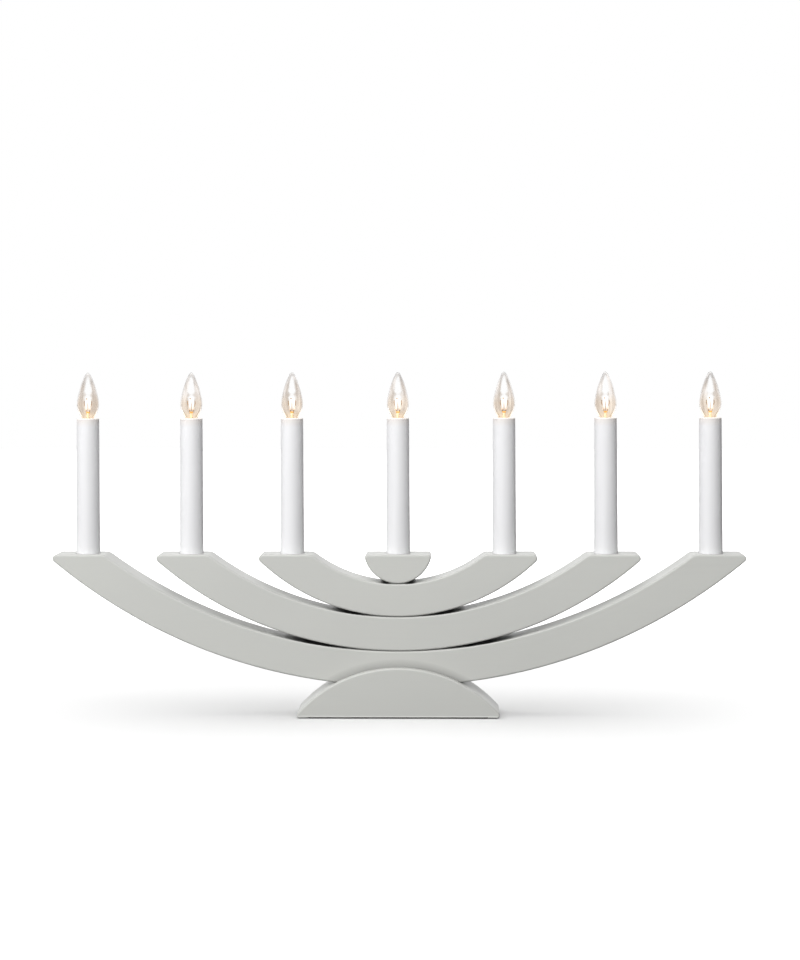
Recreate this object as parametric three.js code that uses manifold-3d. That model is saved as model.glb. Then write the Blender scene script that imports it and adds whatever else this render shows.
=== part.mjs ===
// Electric candlestick with seven lights. Millimetres, +Z up, the front faces -Y.
// Three crescent arcs of painted wood stand on one another over a slotted half-moon foot.
// The flats at their tips, and a half-disc cup in the middle, carry the candles.
// A candle is a tapered sleeve with a lamp holder in its top and a screw bulb in the holder.

import * as THREE from 'three';
import { mergeVertices } from 'three/addons/utils/BufferGeometryUtils.js';
import Module from 'manifold-3d';

const wasm = await Module();
wasm.setup();

// Candle places: distance of each pair of candle axes from the middle
const upperReach = 77.2;
const middleReach = 150.8;
const lowerReach = 226.6;

// Flats that carry the candles
const cornerInset = 13.6; // candle axis to the flat's inner corner
const upperCornerInset = 14.9; // the same on the upper arc
const flatWidth = 42.4; // sharp corner to sharp corner
const boreDepth = 10;
const boreWall = 4.95; // wood left in front of and behind a candle bore
const tipRound = 2.8; // outer corner of a flat
const heelRound = 7; // inner corner of a flat

// Stack of wooden pieces on the centre line
const arcSeat = 22.2; // underside of the lower arc above the ground
const lowerThickness = 25.1; // of each arc, at the middle
const middleThickness = 24.4;
const upperThickness = 23.5;
const stackGap = 0.3; // glue line between two stacked pieces
const cupFloor = 10.9; // wood under the middle candle's bore
const cupHalfWidth = 24; // at the flat, before its corners are rounded
const cupCornerRound = 2.2;
const edgeRound = 1.6;

// Foot
const footHalfWidth = 76.2; // at the underside, before its corners are rounded
const footTop = 36; // crown of the foot above the ground
const footLip = 5.7; // wood in front of and behind the slot
const footCornerRound = 2.2;
const slotGap = 0.3; // round the lower arc in its slot

// Felt pad under the foot
const padThickness = 1;
const padEndInset = 11.4; // from the foot's sharp corner
const padSideInset = 3;
const padCornerRound = 3;
const glueLine = 0.05;

// Screws from under the foot into the lower arc
const screwOffset = 20;
const screwDiameter = 4;
const screwHeadDiameter = 8;
const screwHeadHeight = 2.6;
const screwHeadDepth = 0.4; // head below the foot's underside
const screwGrip = 12; // length in the arc
const screwPoint = 5;

// Dowels between the stacked pieces
const dowelDiameter = 6;
const dowelGrip = 8; // length in each piece
const dowelChamfer = 0.6;
const fitGap = 0.2; // round screws, dowels and fitted lamp pieces

// Candle sleeve, sized from the bulb's screw cap outwards
const tubeHeight = 98.4; // above the flat
const tubeWall = 1;
const tubeTaper = 1.3; // base diameter less top diameter
const rimRound = 0.5;
const lipThickness = 1.2; // inward lip at the top
const lipReach = 1.6; // how far the lip stands in from the wall
const tubeSeatGap = 0.3;
const tubeBoreGap = 0.35;

// Lamp holder and its screw shell
const holderWall = 1.3;
const holderFloor = 2;
const skirtLength = 4;
const skirtDiameter = 9;
const skirtWall = 1.2;
const studHeight = 1; // centre contact that the bulb stands on
const studDiameter = 4;
const shellWall = 0.4;
const shellLength = 9.8;
const threadGap = 0.25;

// Bulb: screw cap and centre contact
const capDiameter = 9.4;
const capWall = 0.35;
const capDrop = 1.5; // cap's upper edge below the sleeve's rim
const capThreadLength = 9;
const capEndHeight = 1.3;
const capEndDiameter = 5.4;
const contactDiameter = 4.6;
const contactHeight = 0.9;
const contactShank = 2.8;
const contactShankLength = 1.1;

// Bulb: glass, its heights counted from the sleeve's rim
const glassWall = 0.7;
const neckLength = 4; // neck inside the cap
const shoulderPull = 2.2;
const bellyPull = 6.1;
const bellyDiameter = 16;
const bellyHeight = 10.3;
const flamePull = 6;
const tipBreadth = 3;
const bulbHeight = 33.2;

// Bulb: stem, lead and filament, their heights counted from the sleeve's rim
const stemDiameter = 2.2;
const stemFlare = 3;
const stemTop = 3.6;
const filamentDiameter = 1.1;
const filamentBottom = 5.4;
const filamentTop = 13.4;
const leadDiameter = 0.5;
const leadOffset = 1.7;

// Fineness of the facets
const facetSag = 0.1;
const edgeSteps = 2;
const tubeSides = 14;
const fittingSides = 12;
const contactSides = 8;
const glassSides = 12;
const glassSteps = 4;
const leadSides = 4;
const leadSteps = 5;

// Sizes that follow from the ones above
const capRadius = capDiameter / 2;
const shellInside = capRadius + threadGap;
const shellOutside = shellInside + shellWall;
const holderInside = shellOutside + fitGap;
const holderOutside = holderInside + holderWall;
const tubeInside = holderOutside + fitGap; // at the rim
const tubeTopRadius = tubeInside + tubeWall;
const tubeBaseRadius = tubeTopRadius + tubeTaper / 2;
const boreRadius = tubeBaseRadius + tubeBoreGap;
const arcDepth = 2 * (boreRadius + boreWall);
const footDepth = arcDepth + 2 * (slotGap + footLip);

const middleBottom = arcSeat + lowerThickness + stackGap;
const upperBottom = middleBottom + middleThickness + stackGap;
const cupBottom = upperBottom + upperThickness + stackGap;
const flatLevel = cupBottom + cupFloor + boreDepth;
const rimLevel = flatLevel + tubeHeight;

// The arcs: candle place, flat's inner corner, underside and thickness at the middle
const lowerArc = { reach: lowerReach, inset: cornerInset, bottom: arcSeat, thickness: lowerThickness };
const middleArc = { reach: middleReach, inset: cornerInset, bottom: middleBottom, thickness: middleThickness };
const upperArc = { reach: upperReach, inset: upperCornerInset, bottom: upperBottom, thickness: upperThickness };

const capTop = -capDrop;
const capShoulder = capTop - capThreadLength;
const capEnd = capShoulder - capEndHeight;
const contactTop = capEnd - fitGap;
const contactEnd = contactTop - contactHeight;
const studTop = contactEnd - fitGap;
const holderSeat = studTop - studHeight;
const holderTop = -lipThickness - fitGap;
const neckRadius = capRadius - capWall - fitGap;
const neckEnd = capTop - neckLength;

const paintedWood = { color: 0xc6c7c2, roughness: 0.55, metalness: 0 };
const beech = { color: 0xc9a678, roughness: 0.7, metalness: 0 };
const felt = { color: 0x2e2d2c, roughness: 0.95, metalness: 0 };
const zincSteel = { color: 0xb9bcc0, roughness: 0.35, metalness: 1 };
const whitePlastic = { color: 0xf0f0f1, roughness: 0.4, metalness: 0 };
const holderPlastic = { color: 0xe4e2dc, roughness: 0.5, metalness: 0 };
const brass = { color: 0xc7a24e, roughness: 0.3, metalness: 1 };
const nickel = { color: 0xc9c4b8, roughness: 0.25, metalness: 1 };
const solder = { color: 0xa9a9a6, roughness: 0.4, metalness: 1 };
const clearGlass = { color: 0xf4f6f6, roughness: 0.02, metalness: 0 };
const warmFilament = { color: 0xffc26a, roughness: 0.5, metalness: 0 };

const candlestick = new THREE.Group();

// Adds one named piece with its own material.
function addPiece(parent, name, geometry, finish) {
  const piece = new THREE.Mesh(geometry, new THREE.MeshStandardMaterial(finish));
  piece.name = name;
  parent.add(piece);
}

// Welds shared vertices and drops the triangles that a pole folds to nothing.
function weld(geometry) {
  const bare = geometry.clone();
  bare.deleteAttribute('normal');
  bare.deleteAttribute('uv');
  const welded = mergeVertices(bare, 1e-4);
  const corners = welded.index.array;
  const kept = [];
  for (let i = 0; i < corners.length; i += 3) {
    const [a, b, c] = corners.slice(i, i + 3);
    if (a !== b && b !== c && c !== a) kept.push(a, b, c);
  }
  welded.setIndex(kept);
  return welded;
}

function toSolid(geometry) {
  const welded = weld(geometry);
  const vertProperties = new Float32Array(welded.attributes.position.array);
  const triVerts = new Uint32Array(welded.index.array);
  return new wasm.Manifold(new wasm.Mesh({ numProp: 3, vertProperties, triVerts }));
}

function toGeometry(solid) {
  const { vertProperties, triVerts } = solid.getMesh();
  const geometry = new THREE.BufferGeometry();
  geometry.setAttribute('position', new THREE.BufferAttribute(vertProperties, 3));
  geometry.setIndex(new THREE.BufferAttribute(triVerts, 1));
  return geometry;
}

function cut(geometry, cutters) {
  let solid = toSolid(geometry);
  for (const cutter of cutters) solid = solid.subtract(toSolid(cutter));
  return toGeometry(solid);
}

function join(geometries) {
  let solid = toSolid(geometries[0]);
  for (const geometry of geometries.slice(1)) solid = solid.add(toSolid(geometry));
  return toGeometry(solid);
}

// Turns a profile of [radius, height] pairs about the Z axis.
function revolve(profile, sides) {
  const points = profile.map(([radius, height]) => new THREE.Vector2(radius, height));
  return weld(new THREE.LatheGeometry(points, sides).rotateX(Math.PI / 2));
}

// Turns a profile that closes on itself into a ring.
function revolveRing(profile, sides) {
  return revolve([...profile, profile[0]], sides);
}

// Upright cylinder from one height to another.
function rod(radius, bottom, top, sides, x = 0) {
  const geometry = new THREE.CylinderGeometry(radius, radius, top - bottom, sides);
  return geometry.rotateX(Math.PI / 2).translate(x, 0, (bottom + top) / 2);
}

// Points along a circle, with chords that stay within facetSag of it.
function arcPoints(x, height, radius, from, to) {
  const chord = Math.sqrt(8 * radius * facetSag);
  const steps = Math.max(2, Math.ceil((Math.abs(to - from) * radius) / chord));
  const points = [];
  for (let i = 0; i <= steps; i += 1) {
    const angle = from + ((to - from) * i) / steps;
    points.push(new THREE.Vector2(x + radius * Math.cos(angle), height + radius * Math.sin(angle)));
  }
  return points;
}

// Closes a right half, which runs from the centre line back to it, with its mirror image.
function mirrorOutline(rightHalf) {
  const leftHalf = rightHalf.slice(1, -1).reverse();
  return new THREE.Shape([...rightHalf, ...leftHalf.map((point) => new THREE.Vector2(-point.x, point.y))]);
}

// Upright slab of an outline, centred on the middle plane, with its edges rounded.
function slab(outline, depth, round) {
  const geometry = new THREE.ExtrudeGeometry(outline, {
    depth: depth - 2 * round,
    bevelEnabled: round > 0,
    bevelThickness: round,
    bevelSize: round,
    bevelOffset: -round,
    bevelSegments: edgeSteps,
  });
  return geometry.translate(0, 0, round - depth / 2).rotateX(Math.PI / 2);
}

// Radius of the circle with its lowest point on the centre line, through a point beside and above it.
function radiusThrough(halfWidth, rise) {
  return (halfWidth ** 2 + rise ** 2) / (2 * rise);
}

// Centre of a rounding between a flat and a circle: inside the circle for side -1, outside for side 1.
function rounding(circleHeight, circleRadius, flat, round, side) {
  const height = flat - round;
  const x = Math.sqrt((circleRadius + side * round) ** 2 - (height - circleHeight) ** 2);
  return { x, height, angle: Math.atan2(height - circleHeight, x) };
}

const down = -Math.PI / 2;
const up = Math.PI / 2;

// Radius of a crescent's underside.
function undersideRadius(arc) {
  return radiusThrough(arc.reach - arc.inset + flatWidth, flatLevel - arc.bottom);
}

// Crescent between two circles that pass through its middle, with flat tips.
function crescentOutline(arc) {
  const top = arc.bottom + arc.thickness;
  const outerRadius = undersideRadius(arc);
  const innerRadius = radiusThrough(arc.reach - arc.inset, flatLevel - top);
  const tip = rounding(arc.bottom + outerRadius, outerRadius, flatLevel, tipRound, -1);
  const heel = rounding(top + innerRadius, innerRadius, flatLevel, heelRound, 1);
  return mirrorOutline([
    ...arcPoints(0, arc.bottom + outerRadius, outerRadius, down, tip.angle),
    ...arcPoints(tip.x, tip.height, tipRound, tip.angle, up).slice(1),
    ...arcPoints(heel.x, heel.height, heelRound, up, Math.PI + heel.angle),
    ...arcPoints(0, top + innerRadius, innerRadius, heel.angle, down).slice(1),
  ]);
}

// Disc segment with its round side down and its flat side up.
function segmentOutline(halfWidth, bottom, flat, round) {
  const radius = radiusThrough(halfWidth, flat - bottom);
  const corner = rounding(bottom + radius, radius, flat, round, -1);
  return mirrorOutline([
    ...arcPoints(0, bottom + radius, radius, down, corner.angle),
    ...arcPoints(corner.x, corner.height, round, corner.angle, up).slice(1),
    new THREE.Vector2(0, flat),
  ]);
}

// Blind bore for a candle, open at the flat.
function candleBore(x) {
  return rod(boreRadius, flatLevel - boreDepth, flatLevel + boreDepth, tubeSides, x);
}

// Height of the glue line's middle under a stacked piece.
function glueHeight(bottom) {
  return bottom - stackGap / 2;
}

// Hole for the dowel that crosses the glue line under a stacked piece.
function dowelHole(bottom) {
  const middle = glueHeight(bottom);
  const reach = dowelGrip + fitGap;
  return rod(dowelDiameter / 2 + fitGap, middle - reach, middle + reach, fittingSides);
}

// Dowel with chamfered ends, across the glue line under a stacked piece.
function dowel(bottom) {
  const radius = dowelDiameter / 2;
  const chamfered = radius - dowelChamfer;
  const profile = [
    [0, -dowelGrip],
    [chamfered, -dowelGrip],
    [radius, dowelChamfer - dowelGrip],
    [radius, dowelGrip - dowelChamfer],
    [chamfered, dowelGrip],
    [0, dowelGrip],
  ];
  return revolve(profile, fittingSides).translate(0, 0, glueHeight(bottom));
}

// Countersunk wood screw, or its hole when it is grown by a gap.
function footScrew(side, gap = 0) {
  const head = padThickness + screwHeadDepth - gap;
  const shank = screwDiameter / 2 + gap;
  const end = arcSeat + screwGrip + gap;
  const profile = [
    [0, head],
    [screwHeadDiameter / 2 + gap, head],
    [shank, head + screwHeadHeight + gap],
    [shank, end - screwPoint],
    [0, end],
  ];
  return revolve(profile, fittingSides).translate(side * screwOffset, 0, 0);
}

// Mouth of a screw hole, from under the foot to the screw's head.
function screwMouth(side) {
  const radius = screwHeadDiameter / 2 + fitGap;
  return rod(radius, 0, padThickness + screwHeadDepth, fittingSides, side * screwOffset);
}

const screwHoles = [footScrew(-1, fitGap), footScrew(1, fitGap)];

// Crescent with a candle bore at each tip and the given holes at the middle.
function crescent(arc, holes) {
  const body = slab(crescentOutline(arc), arcDepth, edgeRound);
  return cut(body, [candleBore(-arc.reach), candleBore(arc.reach), ...holes]);
}

// Half-disc block that carries the middle candle.
function centreCup() {
  const outline = segmentOutline(cupHalfWidth, cupBottom, flatLevel, cupCornerRound);
  return cut(slab(outline, arcDepth, edgeRound), [candleBore(0), dowelHole(cupBottom)]);
}

// Half-moon block with its flat side down, slotted through its crown for the lower arc.
function foot() {
  const upturned = segmentOutline(footHalfWidth, -footTop, -padThickness, footCornerRound);
  const block = slab(upturned, footDepth, edgeRound).rotateY(Math.PI);
  const radius = undersideRadius(lowerArc) + slotGap;
  const slotEnd = Math.asin(footHalfWidth / radius);
  const slotOutline = mirrorOutline([
    ...arcPoints(0, arcSeat - slotGap + radius, radius, down, down + slotEnd),
    new THREE.Vector2(footHalfWidth, flatLevel),
    new THREE.Vector2(0, flatLevel),
  ]);
  const slot = slab(slotOutline, arcDepth + 2 * slotGap, 0);
  return cut(block, [slot, ...screwHoles, screwMouth(-1), screwMouth(1)]);
}

// Felt pad with round corners, which covers the screw heads.
function feltPad() {
  const x = footHalfWidth - padEndInset - padCornerRound;
  const y = footDepth / 2 - padSideInset - padCornerRound;
  const outline = new THREE.Shape([
    ...arcPoints(x, y, padCornerRound, 0, up),
    ...arcPoints(-x, y, padCornerRound, up, Math.PI),
    ...arcPoints(-x, -y, padCornerRound, Math.PI, Math.PI - down),
    ...arcPoints(x, -y, padCornerRound, down, 0),
  ]);
  return new THREE.ExtrudeGeometry(outline, { depth: padThickness - glueLine, bevelEnabled: false });
}

// Tapered sleeve, straight in its bore, with an inward lip that the holder stops against.
function candleTube() {
  const seat = -tubeHeight - boreDepth + tubeSeatGap;
  const profile = [
    [tubeBaseRadius, seat],
    [tubeBaseRadius, -tubeHeight],
    [tubeTopRadius, -rimRound],
    [tubeTopRadius - rimRound, 0],
    [tubeInside - lipReach, 0],
    [tubeInside - lipReach, -lipThickness],
    [tubeInside, -lipThickness],
    [tubeBaseRadius - tubeWall, -tubeHeight],
    [tubeBaseRadius - tubeWall, seat],
  ];
  return revolveRing(profile, tubeSides);
}

// Moulded holder: a cup with a contact stud in its floor and a skirt for the wires below.
function lampHolder() {
  const underside = holderSeat - holderFloor;
  const skirt = skirtDiameter / 2;
  const profile = [
    [0, underside],
    [skirt - skirtWall, underside],
    [skirt - skirtWall, underside - skirtLength],
    [skirt, underside - skirtLength],
    [skirt, underside],
    [holderOutside, underside],
    [holderOutside, holderTop],
    [holderInside, holderTop],
    [holderInside, holderSeat],
    [studDiameter / 2, holderSeat],
    [studDiameter / 2, studTop],
    [0, studTop],
  ];
  return revolve(profile, fittingSides);
}

// Screw shell that lines the holder.
function socketShell() {
  const bottom = holderSeat + fitGap;
  const profile = [
    [shellInside, bottom],
    [shellOutside, bottom],
    [shellOutside, bottom + shellLength],
    [shellInside, bottom + shellLength],
  ];
  return revolveRing(profile, fittingSides);
}

// Screw cap: a thin cup with a coned end and a hole for the contact.
function bulbCap() {
  const inside = capRadius - capWall;
  const end = capEndDiameter / 2;
  const hole = contactShank / 2 + fitGap;
  const profile = [
    [hole, capEnd],
    [end, capEnd],
    [capRadius, capShoulder],
    [capRadius, capTop],
    [inside, capTop],
    [inside, capShoulder],
    [end - capWall, capEnd + capWall],
    [hole, capEnd + capWall],
  ];
  return revolveRing(profile, fittingSides);
}

// Centre contact: a button on a shank that stands in the cap's end.
function bulbContact() {
  const profile = [
    [0, contactEnd],
    [contactDiameter / 2 - contactHeight / 2, contactEnd],
    [contactDiameter / 2, contactEnd + contactHeight / 2],
    [contactDiameter / 2, contactTop],
    [contactShank / 2, contactTop],
    [contactShank / 2, contactTop + contactShankLength],
    [0, contactTop + contactShankLength],
  ];
  return revolve(profile, contactSides);
}

// Flame-shaped wall of the glass from its neck to its tip, drawn in by an inset.
function flameProfile(inset) {
  const neck = neckRadius - inset;
  const belly = bellyDiameter / 2 - inset;
  const tip = bulbHeight - inset;
  const wall = new THREE.Path();
  wall.moveTo(neck, capTop);
  wall.bezierCurveTo(neck, capTop + shoulderPull, belly, bellyHeight - bellyPull, belly, bellyHeight);
  wall.bezierCurveTo(belly, bellyHeight + flamePull, tipBreadth, tip, 0, tip);
  return [[neck, neckEnd], ...wall.getPoints(glassSteps).map((point) => [point.x, point.y])];
}

// Clear envelope, open at the neck.
function bulbGlass() {
  return revolveRing([...flameProfile(0), ...flameProfile(glassWall).reverse()], glassSides);
}

// Filament on its stem: the flared stem stands in the neck, and a bent lead holds the upper end.
function bulbFilament() {
  const flare = neckRadius - glassWall - fitGap;
  const stem = stemDiameter / 2;
  const lead = leadDiameter / 2;
  const stemProfile = [
    [0, neckEnd],
    [flare, neckEnd],
    [stem, neckEnd + stemFlare],
    [stem, stemTop],
    [0, stemTop],
  ];
  const route = new THREE.CatmullRomCurve3([
    new THREE.Vector3(stem - lead, 0, stemTop - leadDiameter),
    new THREE.Vector3(leadOffset, 0, filamentBottom),
    new THREE.Vector3(leadOffset, 0, filamentTop - leadOffset),
    new THREE.Vector3(0, 0, filamentTop),
  ]);
  const section = new THREE.Shape(new THREE.EllipseCurve(0, 0, lead, lead).getPoints(leadSides).slice(1));
  return join([
    revolve(stemProfile, contactSides),
    rod(lead, stemTop - leadDiameter, filamentBottom + leadDiameter, leadSides),
    rod(filamentDiameter / 2, filamentBottom, filamentTop, contactSides),
    new THREE.ExtrudeGeometry(section, { steps: leadSteps, extrudePath: route, bevelEnabled: false }),
  ]);
}

const lowerHoles = [...screwHoles, dowelHole(middleBottom)];
const middleHoles = [dowelHole(middleBottom), dowelHole(upperBottom)];
const upperHoles = [dowelHole(upperBottom), dowelHole(cupBottom)];

addPiece(candlestick, 'foot', foot(), paintedWood);
addPiece(candlestick, 'lower_arc', crescent(lowerArc, lowerHoles), paintedWood);
addPiece(candlestick, 'middle_arc', crescent(middleArc, middleHoles), paintedWood);
addPiece(candlestick, 'upper_arc', crescent(upperArc, upperHoles), paintedWood);
addPiece(candlestick, 'centre_cup', centreCup(), paintedWood);
addPiece(candlestick, 'felt_pad', feltPad(), felt);
addPiece(candlestick, 'foot_screw_left', footScrew(-1), zincSteel);
addPiece(candlestick, 'foot_screw_right', footScrew(1), zincSteel);
addPiece(candlestick, 'dowel_lower', dowel(middleBottom), beech);
addPiece(candlestick, 'dowel_middle', dowel(upperBottom), beech);
addPiece(candlestick, 'dowel_upper', dowel(cupBottom), beech);

// The candles, numbered from the left. Each group's origin is the middle of a sleeve's rim.
const candlePieces = [
  ['candle_tube', candleTube(), whitePlastic],
  ['lamp_holder', lampHolder(), holderPlastic],
  ['socket_shell', socketShell(), brass],
  ['bulb_cap', bulbCap(), nickel],
  ['bulb_contact', bulbContact(), solder],
  ['bulb_glass', bulbGlass(), clearGlass],
  ['bulb_filament', bulbFilament(), warmFilament],
];
const candlePlaces = [-lowerReach, -middleReach, -upperReach, 0, upperReach, middleReach, lowerReach];
candlePlaces.forEach((x, index) => {
  const candle = new THREE.Group();
  candle.position.set(x, 0, rimLevel);
  for (const [name, geometry, finish] of candlePieces) {
    addPiece(candle, `${name}_${index + 1}`, geometry, finish);
  }
  candlestick.add(candle);
});

export default candlestick;
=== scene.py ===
"""Electric candlestick with seven lights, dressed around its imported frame.

Sizes are in millimetres, as in the part's source, and become metres where a mesh is made. The
front faces -Y, +Z is up, and the middle candle stands on the Z axis.
"""

import logging
import math
from dataclasses import dataclass, field
from enum import Enum
from typing import NamedTuple

import bmesh
import bpy
from mathutils import Matrix, Vector


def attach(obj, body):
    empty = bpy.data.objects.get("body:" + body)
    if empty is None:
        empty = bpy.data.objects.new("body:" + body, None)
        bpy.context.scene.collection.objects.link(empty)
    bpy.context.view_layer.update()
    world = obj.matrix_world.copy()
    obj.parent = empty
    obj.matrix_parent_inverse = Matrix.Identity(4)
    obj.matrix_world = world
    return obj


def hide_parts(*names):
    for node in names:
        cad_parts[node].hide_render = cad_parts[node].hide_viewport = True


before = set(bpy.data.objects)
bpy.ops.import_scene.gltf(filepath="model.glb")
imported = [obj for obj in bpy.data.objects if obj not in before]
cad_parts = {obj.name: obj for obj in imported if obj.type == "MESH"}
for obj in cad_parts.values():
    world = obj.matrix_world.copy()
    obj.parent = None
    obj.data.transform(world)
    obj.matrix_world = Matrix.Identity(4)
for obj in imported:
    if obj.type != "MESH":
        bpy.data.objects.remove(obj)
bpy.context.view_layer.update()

Pair = tuple[float, float]
Triple = tuple[float, float, float]
Colour = tuple[float, float, float, float]
Profile = list[Pair]
BMesh = bmesh.types.BMesh
Mesh = bpy.types.Mesh
Piece = bpy.types.Object
Socket = bpy.types.NodeSocket
Tree = bpy.types.NodeTree

MM = 0.001
SHARP_ANGLE = math.radians(38)
DOWN = -math.pi / 2
UP = math.pi / 2
FULL_TURN = 2 * math.pi
ON_AXIS = 1e-6
SQUARE = ((-1, -1), (1, -1), (1, 1), (-1, 1))
WHOLE: Pair = (0.0, 1.0)
NOISE_ENDS: Pair = (0.3, 0.7)
REACHES: Triple = (226.6, 150.8, 77.2)
THREAD_PITCH = 1.814
THREAD_GRID = (49, 73)
COIL_POINTS = 400
WIRE_SIDES = 6
WELD = 1e-6
log = logging.getLogger("candlestick")


class Slot(Enum):
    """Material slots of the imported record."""

    PAINTED_WOOD = "painted_wood"
    FELT = "felt"
    CANDLE_PLASTIC = "candle_plastic"
    HOLDER_PLASTIC = "holder_plastic"
    BRASS = "brass"
    NICKEL = "nickel"
    SOLDER = "solder"
    GLASS = "glass"
    FILAMENT = "filament"


class Body(Enum):
    """CAD bodies that pieces ride on; those of a bulb end in its number."""

    STAND = "stand"
    BULB = "bulb_{}"
    LIFT = "bulb_{}_lift"

    def named(self, number: int = 0) -> str:
        """The body's name in the frame, for one bulb or for the stand."""
        return self.value.format(number)


def scaled(ends: Pair, factor: float) -> Pair:
    """Both ends of a range, multiplied."""
    return ends[0] * factor, ends[1] * factor


class NodeDraft:
    """A node tree in the making."""

    def __init__(self, tree: Tree) -> None:
        """Takes the tree that the nodes go into."""
        self.tree = tree

    def feed(self, socket: Socket, source: object) -> None:
        """Links an input to another node's output, or sets its plain value.

        Args:
            socket: the input.
            source: an output socket or a value.
        """
        if isinstance(source, Socket):
            self.tree.links.new(source, socket)
        else:
            socket.default_value = source

    def feed_named(self, node: bpy.types.Node, sources: dict[str, object]) -> None:
        """Feeds a node's inputs, which are named with underscores for spaces."""
        for name, source in sources.items():
            self.feed(node.inputs[name.replace("_", " ")], source)

    def add(
        self, kind: str, settings: dict[str, object] | None = None, **sources: object
    ) -> bpy.types.Node:
        """Adds a node and feeds its inputs.

        Args:
            kind: Blender's name of the node type.
            settings: properties of the node itself.
            sources: a value or output for each input, named with underscores for spaces.

        Returns:
            The new node.
        """
        node = self.tree.nodes.new(kind)
        for name, value in (settings or {}).items():
            setattr(node, name, value)
        self.feed_named(node, sources)
        return node

    def sum(self, operation: str, *sources: object) -> Socket:
        """One step of arithmetic on numbers.

        Args:
            operation: Blender's name of the Math node's operation.
            sources: values or outputs.

        Returns:
            The result.
        """
        node = self.add("ShaderNodeMath", {"operation": operation})
        for socket, source in zip(node.inputs, sources):
            self.feed(socket, source)
        return node.outputs[0]

    def along(self, operation: str, *sources: object) -> Socket:
        """One step of arithmetic on vectors.

        Args:
            operation: Blender's name of the Vector Math node's operation.
            sources: values or outputs.

        Returns:
            The result, which is a number for a length and otherwise a vector.
        """
        node = self.add("ShaderNodeVectorMath", {"operation": operation})
        sockets = [node.inputs[0], node.inputs["Scale"]] if operation == "SCALE" else node.inputs
        for socket, source in zip(sockets, sources):
            self.feed(socket, source)
        return node.outputs["Value" if operation == "LENGTH" else "Vector"]

    def axes(self, source: Socket) -> bpy.types.NodeOutputs:
        """The X, Y and Z of a vector, by their names."""
        return self.add("ShaderNodeSeparateXYZ", Vector=source).outputs

    def spread(
        self, source: Socket, low: float, high: float, ends: Pair = NOISE_ENDS, smooth: bool = False
    ) -> Socket:
        """Maps a value to a range.

        Args:
            source: the value.
            low: the result at the first end.
            high: the result at the second end.
            ends: the source's values there.
            smooth: whether the change eases in and out.

        Returns:
            The mapped value.
        """
        node = self.add(
            "ShaderNodeMapRange",
            {"interpolation_type": "SMOOTHSTEP" if smooth else "LINEAR"},
            Value=source,
            From_Min=ends[0],
            From_Max=ends[1],
            To_Min=low,
            To_Max=high,
        )
        return node.outputs["Result"]


class MaterialDraft(NodeDraft):
    """One material in the making: its nodes and its Principled shader."""

    def __init__(self, name: str) -> None:
        """Starts a material with a Principled shader that reads Object coordinates.

        Args:
            name: the finish's name.
        """
        self.material = bpy.data.materials.new(name)
        self.material.use_nodes = True
        super().__init__(self.material.node_tree)
        self.shader = self.tree.nodes["Principled BSDF"]
        self.place = self.add("ShaderNodeTexCoord").outputs["Object"]

    def shade(self, **sources: object) -> None:
        """Feeds the shader's inputs, named with underscores for spaces."""
        self.feed_named(self.shader, sources)

    def noise(self, per_metre: Triple, detail: float = 2.0) -> Socket:
        """Noise on Object coordinates.

        Args:
            per_metre: how many features there are to a metre along X, Y and Z.
            detail: finer octaves.

        Returns:
            The noise's value, mostly between the noise ends.
        """
        mapping = self.add("ShaderNodeMapping", Vector=self.place, Scale=per_metre)
        spots = mapping.outputs["Vector"]
        return self.add("ShaderNodeTexNoise", Vector=spots, Scale=1.0, Detail=detail).outputs["Fac"]

    def attribute(self, name: str) -> Socket:
        """A number stored on the piece's points."""
        return self.add("ShaderNodeAttribute", {"attribute_name": name}).outputs["Fac"]

    def by_height(self, low: float, high: float, ends: Pair) -> Socket:
        """Maps the point's height between two ends to a range, as spread does."""
        return self.spread(self.axes(self.place)["Z"], low, high, scaled(ends, MM))

    def blend(self, share: object, first: object, second: object) -> Socket:
        """Mixes two colours.

        Args:
            share: how much of the second one shows.
            first: a colour or an output.
            second: a colour or an output.

        Returns:
            The mixed colour.
        """
        node = self.add("ShaderNodeMix", {"data_type": "RGBA"})
        for index, source in zip((0, 6, 7), (share, first, second)):
            self.feed(node.inputs[index], source)
        return node.outputs[2]

    def bump(self, height: Socket, relief: Pair, under: Socket | None = None) -> Socket:
        """Bumps the surface.

        Args:
            height: the relief's form, from 0 to 1.
            relief: how much of it shows, and the millimetres between 0 and 1.
            under: the normal of a coarser bump.

        Returns:
            The bumped normal.
        """
        strength, depth = relief
        node = self.add("ShaderNodeBump", Strength=strength, Distance=depth * MM, Height=height)
        if under is not None:
            self.feed(node.inputs["Normal"], under)
        return node.outputs["Normal"]


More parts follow.
